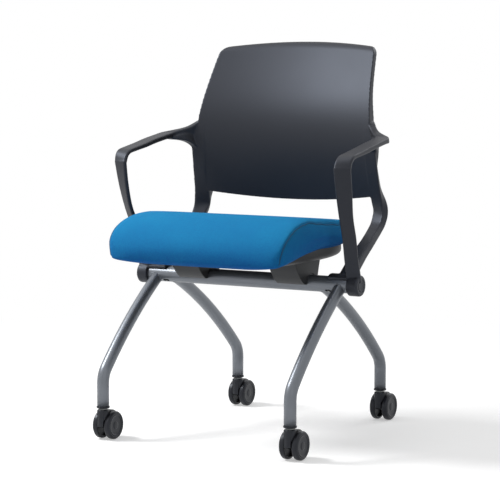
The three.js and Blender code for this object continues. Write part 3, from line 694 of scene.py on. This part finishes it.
hoodSize = {"boss": 12.8, "top": 64.2, "chin": 28.5, "half": 7.3, "guard": 32.3, "tail": 12, "round": 1.2,
            "clear": 0.9, "cut": 30, "lowBevel": (1, 2), "topBevel": (2, 1.5), "lap": 1, "heel": -2,
            "hem": 21.5, "hemHalf": 8, "ease": 0.7, "crease": 40, "segments": 64}


def hoodBoss(x, y):
    # the boss for the stem, cut back on both sides where the wheels turn
    size, wheel = hoodSize, wheelSize
    boss, chin, top = size["boss"], size["chin"], size["top"]
    (lowIn, lowUp), (topIn, topDown) = size["lowBevel"], size["topBevel"]
    outline = [(0, chin), (boss - lowIn, chin), (boss, chin + lowUp), (boss, top - topDown),
               (boss - topIn, top), (0, top)]
    outline = softOutline(outline, size["round"])
    piece = turnedPiece("boss", outline, place(x, y, 0), "z", size["segments"], nylon)
    clear = wheel["radius"] + size["clear"]
    hub = place(x, y + wheel["trail"], wheel["radius"])
    for hand in (-1, 1):
        near, far = hand * size["half"], hand * (size["half"] + size["cut"])
        disc = [(0, near), (clear, near), (clear, far), (0, far)]
        cutBy(piece, turnedPiece("clearance", disc, hub, "x", wheel["segments"], nylon))
    return piece


def hoodPiece(name, end, side):
    # the boss, and a guard that arches over the wheels between them
    size, trail = hoodSize, wheelSize["trail"]
    x, y = casterPlace(end, side)
    centre, boss = place(x, y, 0), hoodBoss(x, y)
    front = size["lap"] - size["boss"]
    web = [(front, size["chin"]), (size["heel"], size["chin"])]
    web += [(trail + reach, size["hem"]) for reach in (-size["hemHalf"], size["hemHalf"])]
    arch = arcPoints(size["guard"], -size["tail"], 90, 20)
    web += [(trail + a, wheelSize["radius"] + b) for a, b in arch]
    web.append((front, size["top"]))
    rings = [[centre + Vector((hand * size["half"], b, c)) * mm for b, c in web] for hand in (-1, 1)]
    plate = loft("web", rings, nylon)
    union = plate.modifiers.new("join", "BOOLEAN")
    union.operation, union.solver, union.object = "UNION", "EXACT", boss
    settle(plate)
    bpy.data.objects.remove(boss)
    plate.name = plate.data.name = name
    easeEdges(plate, size["ease"], size["crease"], 2)
    plate.data.shade_smooth()
    plate.data.set_sharp_from_angle(angle=math.radians(size["crease"]))
    return plate


def bushPiece(name, end, side):
    size = {"flange": 14, "lip": 1.4, "low": 67, "high": 71, "sleeve": 10.8, "top": 84, "bore": 5.3,
            "round": 0.8, "segments": 64}
    flange, low, high, top = size["flange"], size["low"], size["high"], size["top"]
    outline = [(size["bore"], low), (flange - size["lip"], low), (flange, low + size["lip"]),
               (flange, high), (size["sleeve"], high), (size["sleeve"], top), (size["bore"], top)]
    outline = softOutline(outline, size["round"])
    return turnedPiece(name, outline, place(*casterPlace(end, side), 0), "z", size["segments"], nylon)


for end in legForms:
    for side, hand in (("left", -1), ("right", 1)):
        spot = f"{end}_{side}"
        hood = hoodPiece(f"hood_skin_{spot}", end, hand)
        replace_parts(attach(hood, f"caster_{spot}"), f"caster_hood_{spot}")
        bush = bushPiece(f"bush_skin_{spot}", end, hand)
        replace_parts(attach(bush, "frame"), f"leg_bush_{spot}")
        for reach, outward in (("inner", -hand), ("outer", hand)):
            wheel = wheelPiece(f"roller_{spot}_{reach}", end, hand, outward)
            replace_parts(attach(wheel, f"roller_{spot}_{reach}"), f"wheel_{spot}_{reach}")
report("casters made")


# Back and arms: one moulding

shellSize = {
    "top": 829, "topHalf": 190, "corner": 19, "crown": 10, "foot": 499, "sag": 14, "waist": 659,
    "waistHalf": 211.5, "seam": 197, "seamFoot": 203, "seamHeight": 610, "wall": 4.6, "rim": 15.5,
    "rimInset": 0.6, "roll": 13, "rollBack": 11, "shoulder": 0.5, "shoulderReach": 42, "shoulderPower": 8,
}
shellMesh = {"rows": 44, "rowShare": 0.9, "topRows": 14, "topShare": 0.1, "half": 30}
bowSize = {"setback": 186, "centre": 655, "turn": 90, "depth": 35, "reach": 231, "lean": 0.11,
           "curl": 0.455}


def frontAt(x, z):
    rise = z - bowSize["centre"]
    curl = bowSize["curl"] * (math.hypot(rise, bowSize["turn"]) - bowSize["turn"])
    bow = bowSize["depth"] * (x / bowSize["reach"]) ** 2
    return bowSize["setback"] + bowSize["lean"] * rise + curl - bow


def halfWidth(z):
    s = shellSize
    corner = s["top"] - s["crown"]
    if z < s["waist"]:
        seam = mix(s["seamFoot"], s["seam"], smoothStep(z, s["foot"], s["seamHeight"]))
        return mix(seam, s["waistHalf"], smoothStep(z, s["seamHeight"], s["waist"]))
    side = mix(s["waistHalf"], s["topHalf"], (z - s["waist"]) / (corner - s["waist"]))
    over = max(z - (corner - s["corner"]), 0)
    return side - s["corner"] + math.sqrt(max(s["corner"] ** 2 - over ** 2, 0))


def shellPoint(side, share, inset, depth):
    s = shellSize
    corner = s["top"] - s["crown"]
    height = mix(s["foot"] + inset, corner - inset, share)
    half = halfWidth(mix(s["foot"], corner, share)) - inset
    z = height - s["sag"] * (1 - side ** 2) * (1 - share) + s["crown"] * (1 - side ** 2) * share
    rolled = max(1 - (corner - height) / s["roll"], 0)  # the top edge turns back on a wide radius
    back = s["rollBack"] * (1 - math.sqrt(1 - rolled ** 2))
    # the side walls are deeper where the arms join
    near = math.exp(-((height - s["waist"]) / s["shoulderReach"]) ** 2)
    depth *= 1 + s["shoulder"] * abs(side) ** s["shoulderPower"] * near
    return place(side * half, frontAt(side * half, z) + min(back + depth, max(depth, s["rim"])), z)


def shellParts():
    mesh, wall, rim = shellMesh, shellSize["wall"], shellSize["rim"]
    shares = [i / mesh["rows"] * mesh["rowShare"] for i in range(mesh["rows"])]
    for i in range(mesh["topRows"] + 1):
        shares.append(mesh["rowShare"] + mesh["topShare"] * math.sin(math.pi / 2 * i / mesh["topRows"]))
    sides = [i / mesh["half"] - 1 for i in range(2 * mesh["half"] + 1)]
    rings = []
    for share in shares:
        face = [shellPoint(side, share, 0, 0) for side in sides]
        rings.append(face + [shellPoint(side, share, 0, wall) for side in reversed(sides)])
    sheet = loft("sheet", rings)
    loop = [(side, 0) for side in sides] + [(1, share) for share in shares[1:]]
    loop += [(side, 1) for side in reversed(sides[:-1])] + [(-1, share) for share in reversed(shares[1:-1])]
    corners = ((0, shellSize["rimInset"]), (wall, shellSize["rimInset"]), (wall, rim), (0, rim))
    rings = [[shellPoint(side, share, inset, depth) for inset, depth in corners] for side, share in loop]
    return [sheet, loft("rim", rings, closed=True)]


hubCentre = Vector((0, tubeMiddle.y, tubeMiddle.z))
armSize = {"thickness": 9, "corner": 2.6, "spare": 1.1}  # spare: what the melting takes off
armMesh = {"between": 6, "corner": 4}
postSize = {"width": 26, "topWidth": 33, "twist": 34, "topTwist": 22, "footOut": 255}
elbowSize = {"out": 266.8, "reach": 74, "height": 598, "drop": 30, "run": 32, "rise": 4, "steps": 6}
restSize = {"width": 32, "thickness": 10.5, "endOut": 212, "endReach": 162.5, "endHeight": 660,
            "endTurn": 80}
strutSize = {"width": 30, "depth": 24, "footOut": 230.5, "footReach": 5, "footHeight": 344.5}
kneeSize = {"out": 217.5, "reach": 185.5, "height": 470, "turn": -30}
uprightSize = {"topOut": 212, "topHeight": 646}
# shares of those sizes: up, towards the reach, outwards, width, turn
postShares = [(0.02, -0.04, 0, 1.12, 0.3), (0.193, 0.118, 0, 1.03, 0.65), (0.364, 0.36, 0.37, 1.02, 0.8),
              (0.531, 0.66, 0.75, 1.04, 1), (0.71, 0.86, 0.96, 1.19, 0.87)]
# back, up, inwards, width, turn, depth
restShares = [(0.23, 0.13, 0, 1, 0, 0.9), (0.36, 0.22, 0, 1, 0, 0.97), (0.5, 0.33, 0, 1, 0, 1),
              (0.69, 0.455, 0.02, 0.98, 0, 1.05), (0.79, 0.525, 0.075, 0.98, -0.04, 1.3),
              (0.84, 0.59, 0.28, 0.74, 0.03, 1.8), (0.895, 0.655, 0.52, 0.56, 0.05, 2.6),
              (0.94, 0.73, 0.715, 0.48, 0.1, 3), (0.978, 0.84, 0.865, 0.42, 0.3, 2.6),
              (1.005, 0.925, 0.935, 0.42, 0.66, 1.7), (1.035, 1, 1, 0.45, 1, 1.4)]
strutShares = [(0, 0, 0, 1, 0, 0.8), (0.22, 0.239, 0.04, 0.96, 0.13, 0.78),
               (0.44, 0.418, 0.23, 0.95, 0.4, 0.7), (0.63, 0.566, 0.35, 0.97, 0.65, 0.66),
               (0.88, 0.761, 0.69, 0.95, 0.57, 0.66), (0.963, 0.896, 0.81, 1.03, 0.75, 0.7),
               (1, 1, 1, 1.12, 1, 0.72)]
# up, inwards, width, turn, depth
uprightShares = [(0.093, 0.1, 1.07, 0.75, 0.78), (0.185, 0.2, 1, 0.55, 0.84), (0.43, 0.6, 0.98, 0.43, 0.88),
                 (0.71, 1, 1, 0.43, 0.5), (0.86, 1, 1.03, 0.45, 0.3), (1, 1.2, 0.95, 0.45, 0.35)]
# the upright's walls lean inwards, so that its inner wall shows beside its face
uprightLean = {"most": 0.75, "from": 465, "to": 520}
# the web that fills the loop's upper rear corner to a smooth arch: x, y, z, width, turn, depth
archStations = [(216, 166, 550, 12, 0, 6), (217, 165, 570, 12, 0, 10), (219, 161, 589, 13, 0, 15),
                (225, 150, 603, 15, 0, 19), (237, 134, 611.5, 18, 0, 16), (255, 112, 614.5, 18, 0, 7)]


def barPiece(name, stations, corner, lean=None):
    # stations: x, y, z of the face's middle, width, turn in degrees, depth
    stations = smoothRows(stations, armMesh["between"])
    rings = []
    for i, (x, y, z, width, turn, depth) in enumerate(stations):
        before, after = stations[max(i - 1, 0)], stations[min(i + 1, len(stations) - 1)]
        along = Vector(after[:3]) - Vector(before[:3])
        across = Vector((math.cos(math.radians(turn)), math.sin(math.radians(turn)), 0))
        inward = along.cross(across).normalized()
        if lean:
            inward -= across * lean["most"] * smoothStep(z, lean["from"], lean["to"])
        half = width / 2 - corner + armSize["spare"]
        far = depth - corner
        spots = [(half, far, 0), (-half, far, 90), (-half, corner, 180), (half, corner, 270)]
        ring = []
        for u, v, begin in spots:
            ring += [(u + a, v + b) for a, b in arcPoints(corner, begin, begin + 90, armMesh["corner"])]
        rings.append([place(*(Vector((x, y, z)) + across * u + inward * v)) for u, v in ring])
    return loft(name, rings)


def postAndRest():
    post, elbow, rest = postSize, elbowSize, restSize
    stations = []
    for up, reach, out, width, turn in postShares:
        x, z = mix(post["footOut"], elbow["out"], out), mix(axisHeight, elbow["height"], up)
        stations.append((x, -elbow["reach"] * reach, z, post["width"] * width, post["twist"] * turn,
                         armSize["thickness"]))
    below, corner = (-elbow["reach"], elbow["height"] - elbow["drop"]), (-elbow["reach"], elbow["height"])
    behind = (elbow["run"] - elbow["reach"], elbow["height"] + elbow["rise"])
    for step in range(elbow["steps"] + 1):
        t = step / elbow["steps"]
        y, z = (a * (1 - t) ** 2 + b * 2 * t * (1 - t) + c * t * t for a, b, c in zip(below, corner, behind))
        stations.append((elbow["out"], y, z, mix(post["topWidth"], rest["width"], t),
                         post["topTwist"] * (1 - t), armSize["thickness"]))
    for reach, up, out, width, turn, depth in restShares:
        x, y = mix(elbow["out"], rest["endOut"], out), mix(-elbow["reach"], rest["endReach"], reach)
        stations.append((x, y, mix(elbow["height"], rest["endHeight"], up), rest["width"] * width,
                         rest["endTurn"] * turn, rest["thickness"] * depth))
    return barPiece("post and rest", stations, armSize["corner"])


def strutAndUpright():
    strut, knee, upright = strutSize, kneeSize, uprightSize
    stations = []
    for reach, up, out, width, turn, depth in strutShares:
        x, y = mix(strut["footOut"], knee["out"], out), mix(strut["footReach"], knee["reach"], reach)
        stations.append((x, y, mix(strut["footHeight"], knee["height"], up), strut["width"] * width,
                         knee["turn"] * turn, strut["depth"] * depth))
    for up, out, width, turn, depth in uprightShares:
        x, z = mix(knee["out"], upright["topOut"], out), mix(knee["height"], upright["topHeight"], up)
        stations.append((x, frontAt(x, z), z, strut["width"] * width, knee["turn"] * turn,
                         strut["depth"] * depth))
    return barPiece("strut and upright", stations, armSize["corner"], uprightLean)


def archWeb():
    return barPiece("arch", archStations, armSize["corner"])


def hubBarrel():
    size = {"inner": 241.7, "outer": 267.7, "radius": 22, "edge": 2.4, "recess": 12.75, "floor": 264.4,
            "lip": 1, "lipDrop": 0.8, "round": 1.2}
    radius, outer, recess = size["radius"], size["outer"], size["recess"]
    outline = [(0, size["inner"]), (radius, size["inner"]), (radius, outer - size["edge"]),
               (radius - size["edge"], outer), (recess + size["lip"], outer),
               (recess, outer - size["lipDrop"]), (recess, size["floor"]), (0, size["floor"])]
    outline = softOutline(outline, size["round"])
    return turnedPiece("hub", outline, hubCentre, "x", tubeSize["segments"], plastic)


def tubeSaddle():
    size = {"inner": 197, "outer": 243, "thickness": 6.2, "front": 143, "rear": 42, "taper": 8, "clear": 0.3}
    radius, front, rear = tubeSize["radius"], size["front"], size["rear"]
    outline = arcPoints(radius + size["clear"], front, rear, 16)
    outline += arcPoints(radius + size["thickness"], rear, front - size["taper"], 16)
    return sideProfile("saddle", outline, size["inner"], size["outer"], None)


def mouldedBack():
    melt = {"voxel": 1.5, "soften": 5, "most": 190000}
    parts = shellParts()
    for make in (postAndRest, strutAndUpright, archWeb, tubeSaddle, hubBarrel):
        right = make()
        parts += [right, mirrored(right, right.name + " twin")]
    points, faces = [], []
    for part in parts:
        first = len(points)
        points += [tuple(v.co) for v in part.data.vertices]
        faces += [tuple(first + i for i in polygon.vertices) for polygon in part.data.polygons]
        bpy.data.objects.remove(part)
    mesh = bpy.data.meshes.new("back_and_arms")
    mesh.from_pydata(points, [], faces)
    back = linkNew("back_and_arms", mesh)
    meltPiece(back, melt["voxel"])
    softenPiece(back, melt["soften"])
    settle(back)
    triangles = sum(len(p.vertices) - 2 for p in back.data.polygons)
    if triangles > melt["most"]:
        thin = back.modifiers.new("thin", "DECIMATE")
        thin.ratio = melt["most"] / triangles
        settle(back)
    back.data.shade_smooth()
    back.data.materials.clear()
    back.data.materials.append(plastic)
    report("back and arms:", len(back.data.polygons), "faces")
    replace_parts(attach(back, "frame"), "arm_left", "arm_right", "back_shell")


def hubCap(name):
    size = {"low": 264.7, "top": 267.7, "radius": 12.4, "dish": 0.5, "round": 0.5, "segments": 64}
    # steps of the cap's face: in from its edge, down from its top
    steps = ((0, 0.9), (1.4, 0), (3.4, 0.1), (4.2, 0.6))
    outline = [(0, size["low"]), (size["radius"], size["low"])]
    outline += [(size["radius"] - inset, size["top"] - drop) for inset, drop in steps]
    outline.append((0, size["top"] - size["dish"]))
    return turnedPiece(name, softOutline(outline, size["round"]), hubCentre, "x", size["segments"], plastic)


mouldedBack()
bothSides(hubCap, "hub_cap_skin", "frame", ["hub_cap"])
report("back and arms made")


# Seat

seatSize = {
    "front": 220, "rear": 196, "half": 212, "middle": -10, "top": 463, "slope": 0.095, "crown": 1.8,
    "fall": 142, "fallDrop": 98, "rearFall": 60, "rearDrop": 12, "foot": 374.5, "sideFoot": 405.5,
    "footSlope": 0.03, "skirtStart": -260, "skirtEnd": 0, "tuck": 5, "frontPower": 16, "rearPower": 3.4,
    "upperPower": (0.16, 0.22), "hemPower": (0.14, 0.18),
}
seatMesh = {"rows": 60, "around": 72, "first": 0.02, "last": 0.98}


def planHalf(size, reaches, y, inset=0):
    # half the width at y, rounded off towards the front and the rear
    ahead = y < seatSize["middle"]
    reach = reaches[0 if ahead else 1] - inset
    power = size["frontPower"] if ahead else size["rearPower"]
    share = min(abs(y - seatSize["middle"]) / reach, 1)
    return (size["half"] - inset) * (1 - share ** power) ** (1 / power)


def seatHalf(y, inset):
    s = seatSize
    return planHalf(s, (s["front"] + s["middle"], s["rear"] - s["middle"]), y, inset)


def seatTop(y):
    s = seatSize
    fallen = max(s["fall"] - s["front"] - y, 0) / s["fall"]
    drop = s["fallDrop"] * (1 - math.sqrt(max(1 - fallen ** 2, 0)))
    behind = s["rearDrop"] * smoothStep(y, s["rear"] - s["rearFall"], s["rear"])
    return s["top"] - s["slope"] * y - drop - behind


def seatFoot(y):
    s = seatSize
    skirt = mix(s["foot"], s["sideFoot"], smoothStep(y, s["skirtStart"], s["skirtEnd"]))
    return skirt + s["footSlope"] * max(y, 0)


def cushionStart(inset):
    s = seatSize
    rings = []
    for share in easedShares(seatMesh["rows"], seatMesh["first"], seatMesh["last"]):
        y = mix(-s["front"] + inset, s["rear"] - inset, share)
        half, top, foot = seatHalf(y, inset), seatTop(y) - inset, seatFoot(y) + inset
        ring = []
        for angle in roundAngles(seatMesh["around"], 0.5):
            sidePower, liftPower = s["upperPower"] if math.sin(angle) > 0 else s["hemPower"]
            side, lift = signedPower(math.cos(angle), sidePower), signedPower(math.sin(angle), liftPower)
            crown = s["crown"] * (1 - side ** 2) if lift > 0 else 0
            tuck = s["tuck"] * lift * math.copysign(min(abs(side) * 2, 1), side) if lift < 0 else 0
            ring.append(place(side * half + tuck, y, mix(foot, top, (lift + 1) / 2) + crown - s["crown"]))
        rings.append(ring)
    return loft("seat_pad", rings)


def puffPad(pad):
    # cloth under pressure rounds the pad, by a few millimetres at most
    puff = {"voxel": 5, "pressure": 3, "quality": 3, "frames": 12, "most": 4, "soften": 4}
    meltPiece(pad, puff["voxel"])
    settle(pad)
    before = [v.co.copy() for v in pad.data.vertices]
    cloth = pad.modifiers.new("puff", "CLOTH")
    cloth.settings.quality = puff["quality"]
    cloth.settings.use_pressure = True
    cloth.settings.uniform_pressure_force = puff["pressure"]
    cloth.settings.effector_weights.gravity = 0
    cloth.point_cache.frame_start, cloth.point_cache.frame_end = 1, puff["frames"]
    for step in range(1, puff["frames"] + 1):
        bpy.context.scene.frame_set(step)
    report("cushion puffed,", len(before), "points")
    settle(pad)
    bpy.context.scene.frame_set(1)
    for vertex, start in zip(pad.data.vertices, before):
        moved = vertex.co - start
        if moved.length > puff["most"] * mm:
            vertex.co = start + moved.normalized() * puff["most"] * mm
    softenPiece(pad, puff["soften"])
    smooth = pad.modifiers.new("smooth", "SUBSURF")
    smooth.levels = smooth.render_levels = 2
    settle(pad)


def seatCushion():
    inset = 0.5  # room for the puff
    pad = cushionStart(inset)
    puffPad(pad)
    pad.data.shade_smooth()
    corners = [[round(f(v.co[i] for v in pad.data.vertices) / mm, 1) for i in range(3)] for f in (min, max)]
    report("cushion from", corners[0], "to", corners[1])
    return pad


seamSize = {"off": 4, "hem": 1, "straight": -150, "rearIn": 3, "rearDrop": 8, "cord": 1, "groove": 1.3,
            "width": 3.2, "lift": 0.2, "sunkShare": 0.75, "apart": 0.5, "between": 8, "sides": 8}
seamStops = (-219.5, -217.5, -213, -206, -196, -182, -164, -141, -114, -86, -55, -20,
             20, 60, 95, 125, 150, 168, 180, 188)
stitchSize = {"length": 3.2, "thick": 0.75, "spacing": 4.6, "lift": 0.1}
stitchRows = {"stitches_top": (5, 2, 1), "stitches_side": (0, 0, -5)}  # inwards, back and up from the seam


def seamGuide():
    # the seam between the top cover and the side bands: from the hem up the front corner, and back along
    # the side
    s, off = seatSize, seamSize["off"]
    guide = [(s["half"] + off, -s["front"] - off, seatFoot(-s["front"]) + seamSize["hem"])]
    for y in seamStops:
        # a little off the edge, so that the nearest place on the pad is the middle of its rounded edge
        slope = seatTop(y + 0.5) - seatTop(y - 0.5)
        level = off / math.hypot(slope, 1)
        half = seatHalf(max(y, seamSize["straight"]), 0)
        guide.append((half + off, y - slope * level, seatTop(y) - s["crown"] + level))
    y, z = s["rear"] - seamSize["rearIn"], seatTop(s["rear"]) - seamSize["rearDrop"]
    return smoothRows(guide, seamSize["between"]), [(x, y, z) for x in (120, 90, 60, 30, 0)]


def onSurface(pad, guide):
    tree = BVHTree.FromObject(pad, bpy.context.evaluated_depsgraph_get())
    out = []
    for x, y, z in guide:
        spot, normal, _, _ = tree.find_nearest(place(x, y, z))
        if not out or (spot - out[-1][0]).length > seamSize["apart"] * mm:
            out.append((spot, normal))
    return out


def seamPath(pad):
    half, rear = seamGuide()
    right = onSurface(pad, half)
    left = onSurface(pad, [(-x, y, z) for x, y, z in half])
    middle = onSurface(pad, rear + [(-x, y, z) for x, y, z in reversed(rear[:-1])])
    return right + middle + list(reversed(left))


def drawIn(pad, path):
    # a groove along the seam
    tree = KDTree(len(path))
    for i, (spot, _) in enumerate(path):
        tree.insert(spot, i)
    tree.balance()
    spots = []
    for vertex in pad.data.vertices:
        distance = tree.find(vertex.co)[2]
        pull = seamSize["groove"] * math.exp(-(distance / (seamSize["width"] * mm)) ** 2)
        spots += list(vertex.co - vertex.normal * pull * mm)
    pad.data.vertices.foreach_set("co", spots)
    pad.data.update()


def sewSeams(pad):
    path = seamPath(pad)
    drawIn(pad, path)
    lift = seamSize["lift"] - seamSize["groove"] * seamSize["sunkShare"]
    cordPath = [spot + normal * lift * mm for spot, normal in path]
    cord = sweptTube("seam_cord", cordPath, seamSize["cord"], seamSize["sides"], thread)
    bead = beadShape("stitch grain", stitchSize["length"], stitchSize["thick"], stitchSize["thick"])
    rows = []
    for name, (inwards, back, up) in stitchRows.items():
        line = []
        for spot, _ in path:
            x, y, z = spot.x / mm, spot.y / mm - forward, spot.z / mm
            line.append((x - (inwards if x > 0 else -inwards), y + back, z + up))
        spots = [spot + normal * stitchSize["lift"] * mm for spot, normal in onSurface(pad, line)]
        rows.append(rowAlong(name, spots, bead, stitchSize["spacing"], thread))
    bpy.data.objects.remove(bead)
    return [cord] + rows


panSize = {"front": 186, "rear": 165, "half": 192, "frontPower": 5, "rearPower": 3.1, "floor": 372.2,
           "rise": 7, "top": 424, "sidePower": 0.55, "liftPower": 0.5}
panMesh = {"rows": 48, "around": 64, "first": 0.04, "last": 0.96}


def panHalf(y):
    s, middle = panSize, seatSize["middle"]
    return planHalf(s, (s["front"] - middle, s["rear"] - middle), y)


def seatPan():
    s = panSize
    rings = []
    for share in easedShares(panMesh["rows"], panMesh["first"], panMesh["last"]):
        y = mix(-s["front"], s["rear"], share)
        floor = s["floor"] + s["rise"] * smoothStep(y, 0, seatSize["rear"])
        ring = []
        for angle in roundAngles(panMesh["around"], 0.5):
            side = signedPower(math.cos(angle), s["sidePower"])
            lift = signedPower(math.sin(angle), s["liftPower"])
            ring.append(place(side * panHalf(y), y, mix(floor, s["top"], (lift + 1) / 2)))
        rings.append(ring)
    pan = loft("pan_skin", rings, shoePaint)
    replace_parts(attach(pan, "seat"), "seat_pan", "seat_board")
    return pan


shoeSize = {"inner": 87, "outer": 152, "front": 77, "rear": 40, "lip": 30.5, "wall": 4.6, "tip": 1,
            "bore": 19.9, "jaw": 50, "claw": 186, "sunk": 11, "round": 8, "edge": 1.8}
# shares of the reach and of the top
shoeRearShares = ((0.83, 0.58), (0.96, 0.86), (1, 1))
shoeFrontShares = ((1, 1), (0.8, 0.55), (0.59, 0.19))


def hingeShoe(name):
    size = shoeSize
    top = panSize["floor"] - axisHeight + size["sunk"]
    bore = arcPoints(size["bore"], size["claw"], -size["jaw"], 40)
    wall = size["bore"] + size["wall"]
    ends = [math.radians(size["jaw"]) * share for share in (1, 0.7, 0.35, 0)]
    outer = [(wall * math.cos(a), -wall * math.sin(a)) for a in ends]
    outer += [(size["rear"] * reach, top * up) for reach, up in shoeRearShares]
    outer += [(-size["front"] * reach, top * up) for reach, up in shoeFrontShares]
    outline = bore + softOutline(outer + [(-size["lip"], -size["tip"])], size["round"], 5)
    return sideProfile(name, outline, size["inner"], size["outer"], shoePaint, size["edge"])


cushion = seatCushion()
cushion.name = cushion.data.name = "cushion_skin"
sewn = sewSeams(cushion)
cushion.data.materials.append(fabric)
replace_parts(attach(cushion, "seat"), "seat_cushion")
for piece in sewn:
    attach(piece, "seat")
seatPan()
bothSides(hingeShoe, "shoe_skin", "seat", ["hinge_shoe"])
report("seat made")


# Finishes of the CAD nodes that stay

slotFinish = {"plastic": plastic, "shoe": shoePaint, "nylon": nylon, "wheel": nylon, "steel": steel,
              "zinc": zinc, "fabric": fabric, "ply": board}
for entry in frame["record"]["subparts"]:
    node = frame["nodes"][entry["node"]]
    if not node.material_slots:
        node.data.materials.append(None)
    for holder in node.material_slots:
        holder.link = "OBJECT"
        holder.material = slotFinish[entry["material_slot"]]
report("finishes set")


# Camera, floor and lamps

cameraSize = {"azimuth": 29.9, "elevation": 5.6, "place": (2083.5, -3602.5, 799.4), "sensor": 36,
              "focal": 1987.4, "pixels": 500, "farthest": 50}


def studioCamera():
    azimuth, elevation = math.radians(cameraSize["azimuth"]), math.radians(cameraSize["elevation"])
    level, rise = math.cos(elevation), math.sin(elevation)
    behind = Vector((math.sin(azimuth) * level, -math.cos(azimuth) * level, rise))
    right = Vector((math.cos(azimuth), math.sin(azimuth), 0))
    up = behind.cross(right)
    data = bpy.data.cameras.new("camera")
    data.sensor_width = cameraSize["sensor"]
    data.lens = cameraSize["sensor"] * cameraSize["focal"] / cameraSize["pixels"]
    data.clip_end = cameraSize["farthest"]
    camera = linkNew("camera", data)
    turn = Matrix((right, up, behind)).transposed()
    camera.matrix_world = Matrix.Translation(place(*cameraSize["place"])) @ turn.to_4x4()
    bpy.context.scene.camera = camera


studioSize = {"sky": 0.3, "floor": 30, "drop": 0.0003}
# place, target, width and power
lampTable = {
    "side softbox": ((-1.8, -0.95, 2.25), (0, 0, 0.6), 0.8, 62),
    "overhead": ((-0.3, -0.2, 3), (0, 0, 0.4), 1.7, 10),
    "fill": ((2.6, -2.2, 1.6), (0, 0, 0.45), 2.0, 4),
    "back light": ((0.8, 2.4, 2.2), (0, 0, 0.5), 1.6, 14),
}


def lamp(name, spot, target, size, power):
    data = bpy.data.lights.new(name, "AREA")
    data.shape, data.size, data.energy = "DISK", size, power
    light = linkNew(name, data)
    away = (Vector(spot) - Vector(target)).normalized()
    light.matrix_world = Matrix.Translation(spot) @ away.to_track_quat("Z", "Y").to_matrix().to_4x4()


def studio():
    half, drop = studioSize["floor"], -studioSize["drop"]
    corners = [(-half, -half, drop), (half, -half, drop), (half, half, drop), (-half, half, drop)]
    floor = newObject("floor", corners, [(0, 1, 2, 3)], paleFloor(), False)
    for name, values in lampTable.items():
        lamp(name, *values)
    world = bpy.data.worlds.new("studio")
    world.use_nodes = True
    bpy.context.scene.world = world
    nodes, links = world.node_tree.nodes, world.node_tree.links
    ground = nodes["Background"]
    path = nodes.new("ShaderNodeLightPath")
    seen, level = nodes.new("ShaderNodeMath"), nodes.new("ShaderNodeMath")
    seen.operation, level.operation = "MAXIMUM", "MULTIPLY_ADD"
    level.inputs[1].default_value, level.inputs[2].default_value = 1 - studioSize["sky"], studioSize["sky"]
    links.new(path.outputs["Is Camera Ray"], seen.inputs[0])
    links.new(path.outputs["Is Glossy Ray"], seen.inputs[1])
    links.new(seen.outputs[0], level.inputs[0])
    ground.inputs["Color"].default_value = (1, 1, 1, 1)
    links.new(level.outputs[0], ground.inputs["Strength"])
    bpy.context.scene.view_settings.view_transform = "Standard"


studioCamera()
studio()
report("studio set")
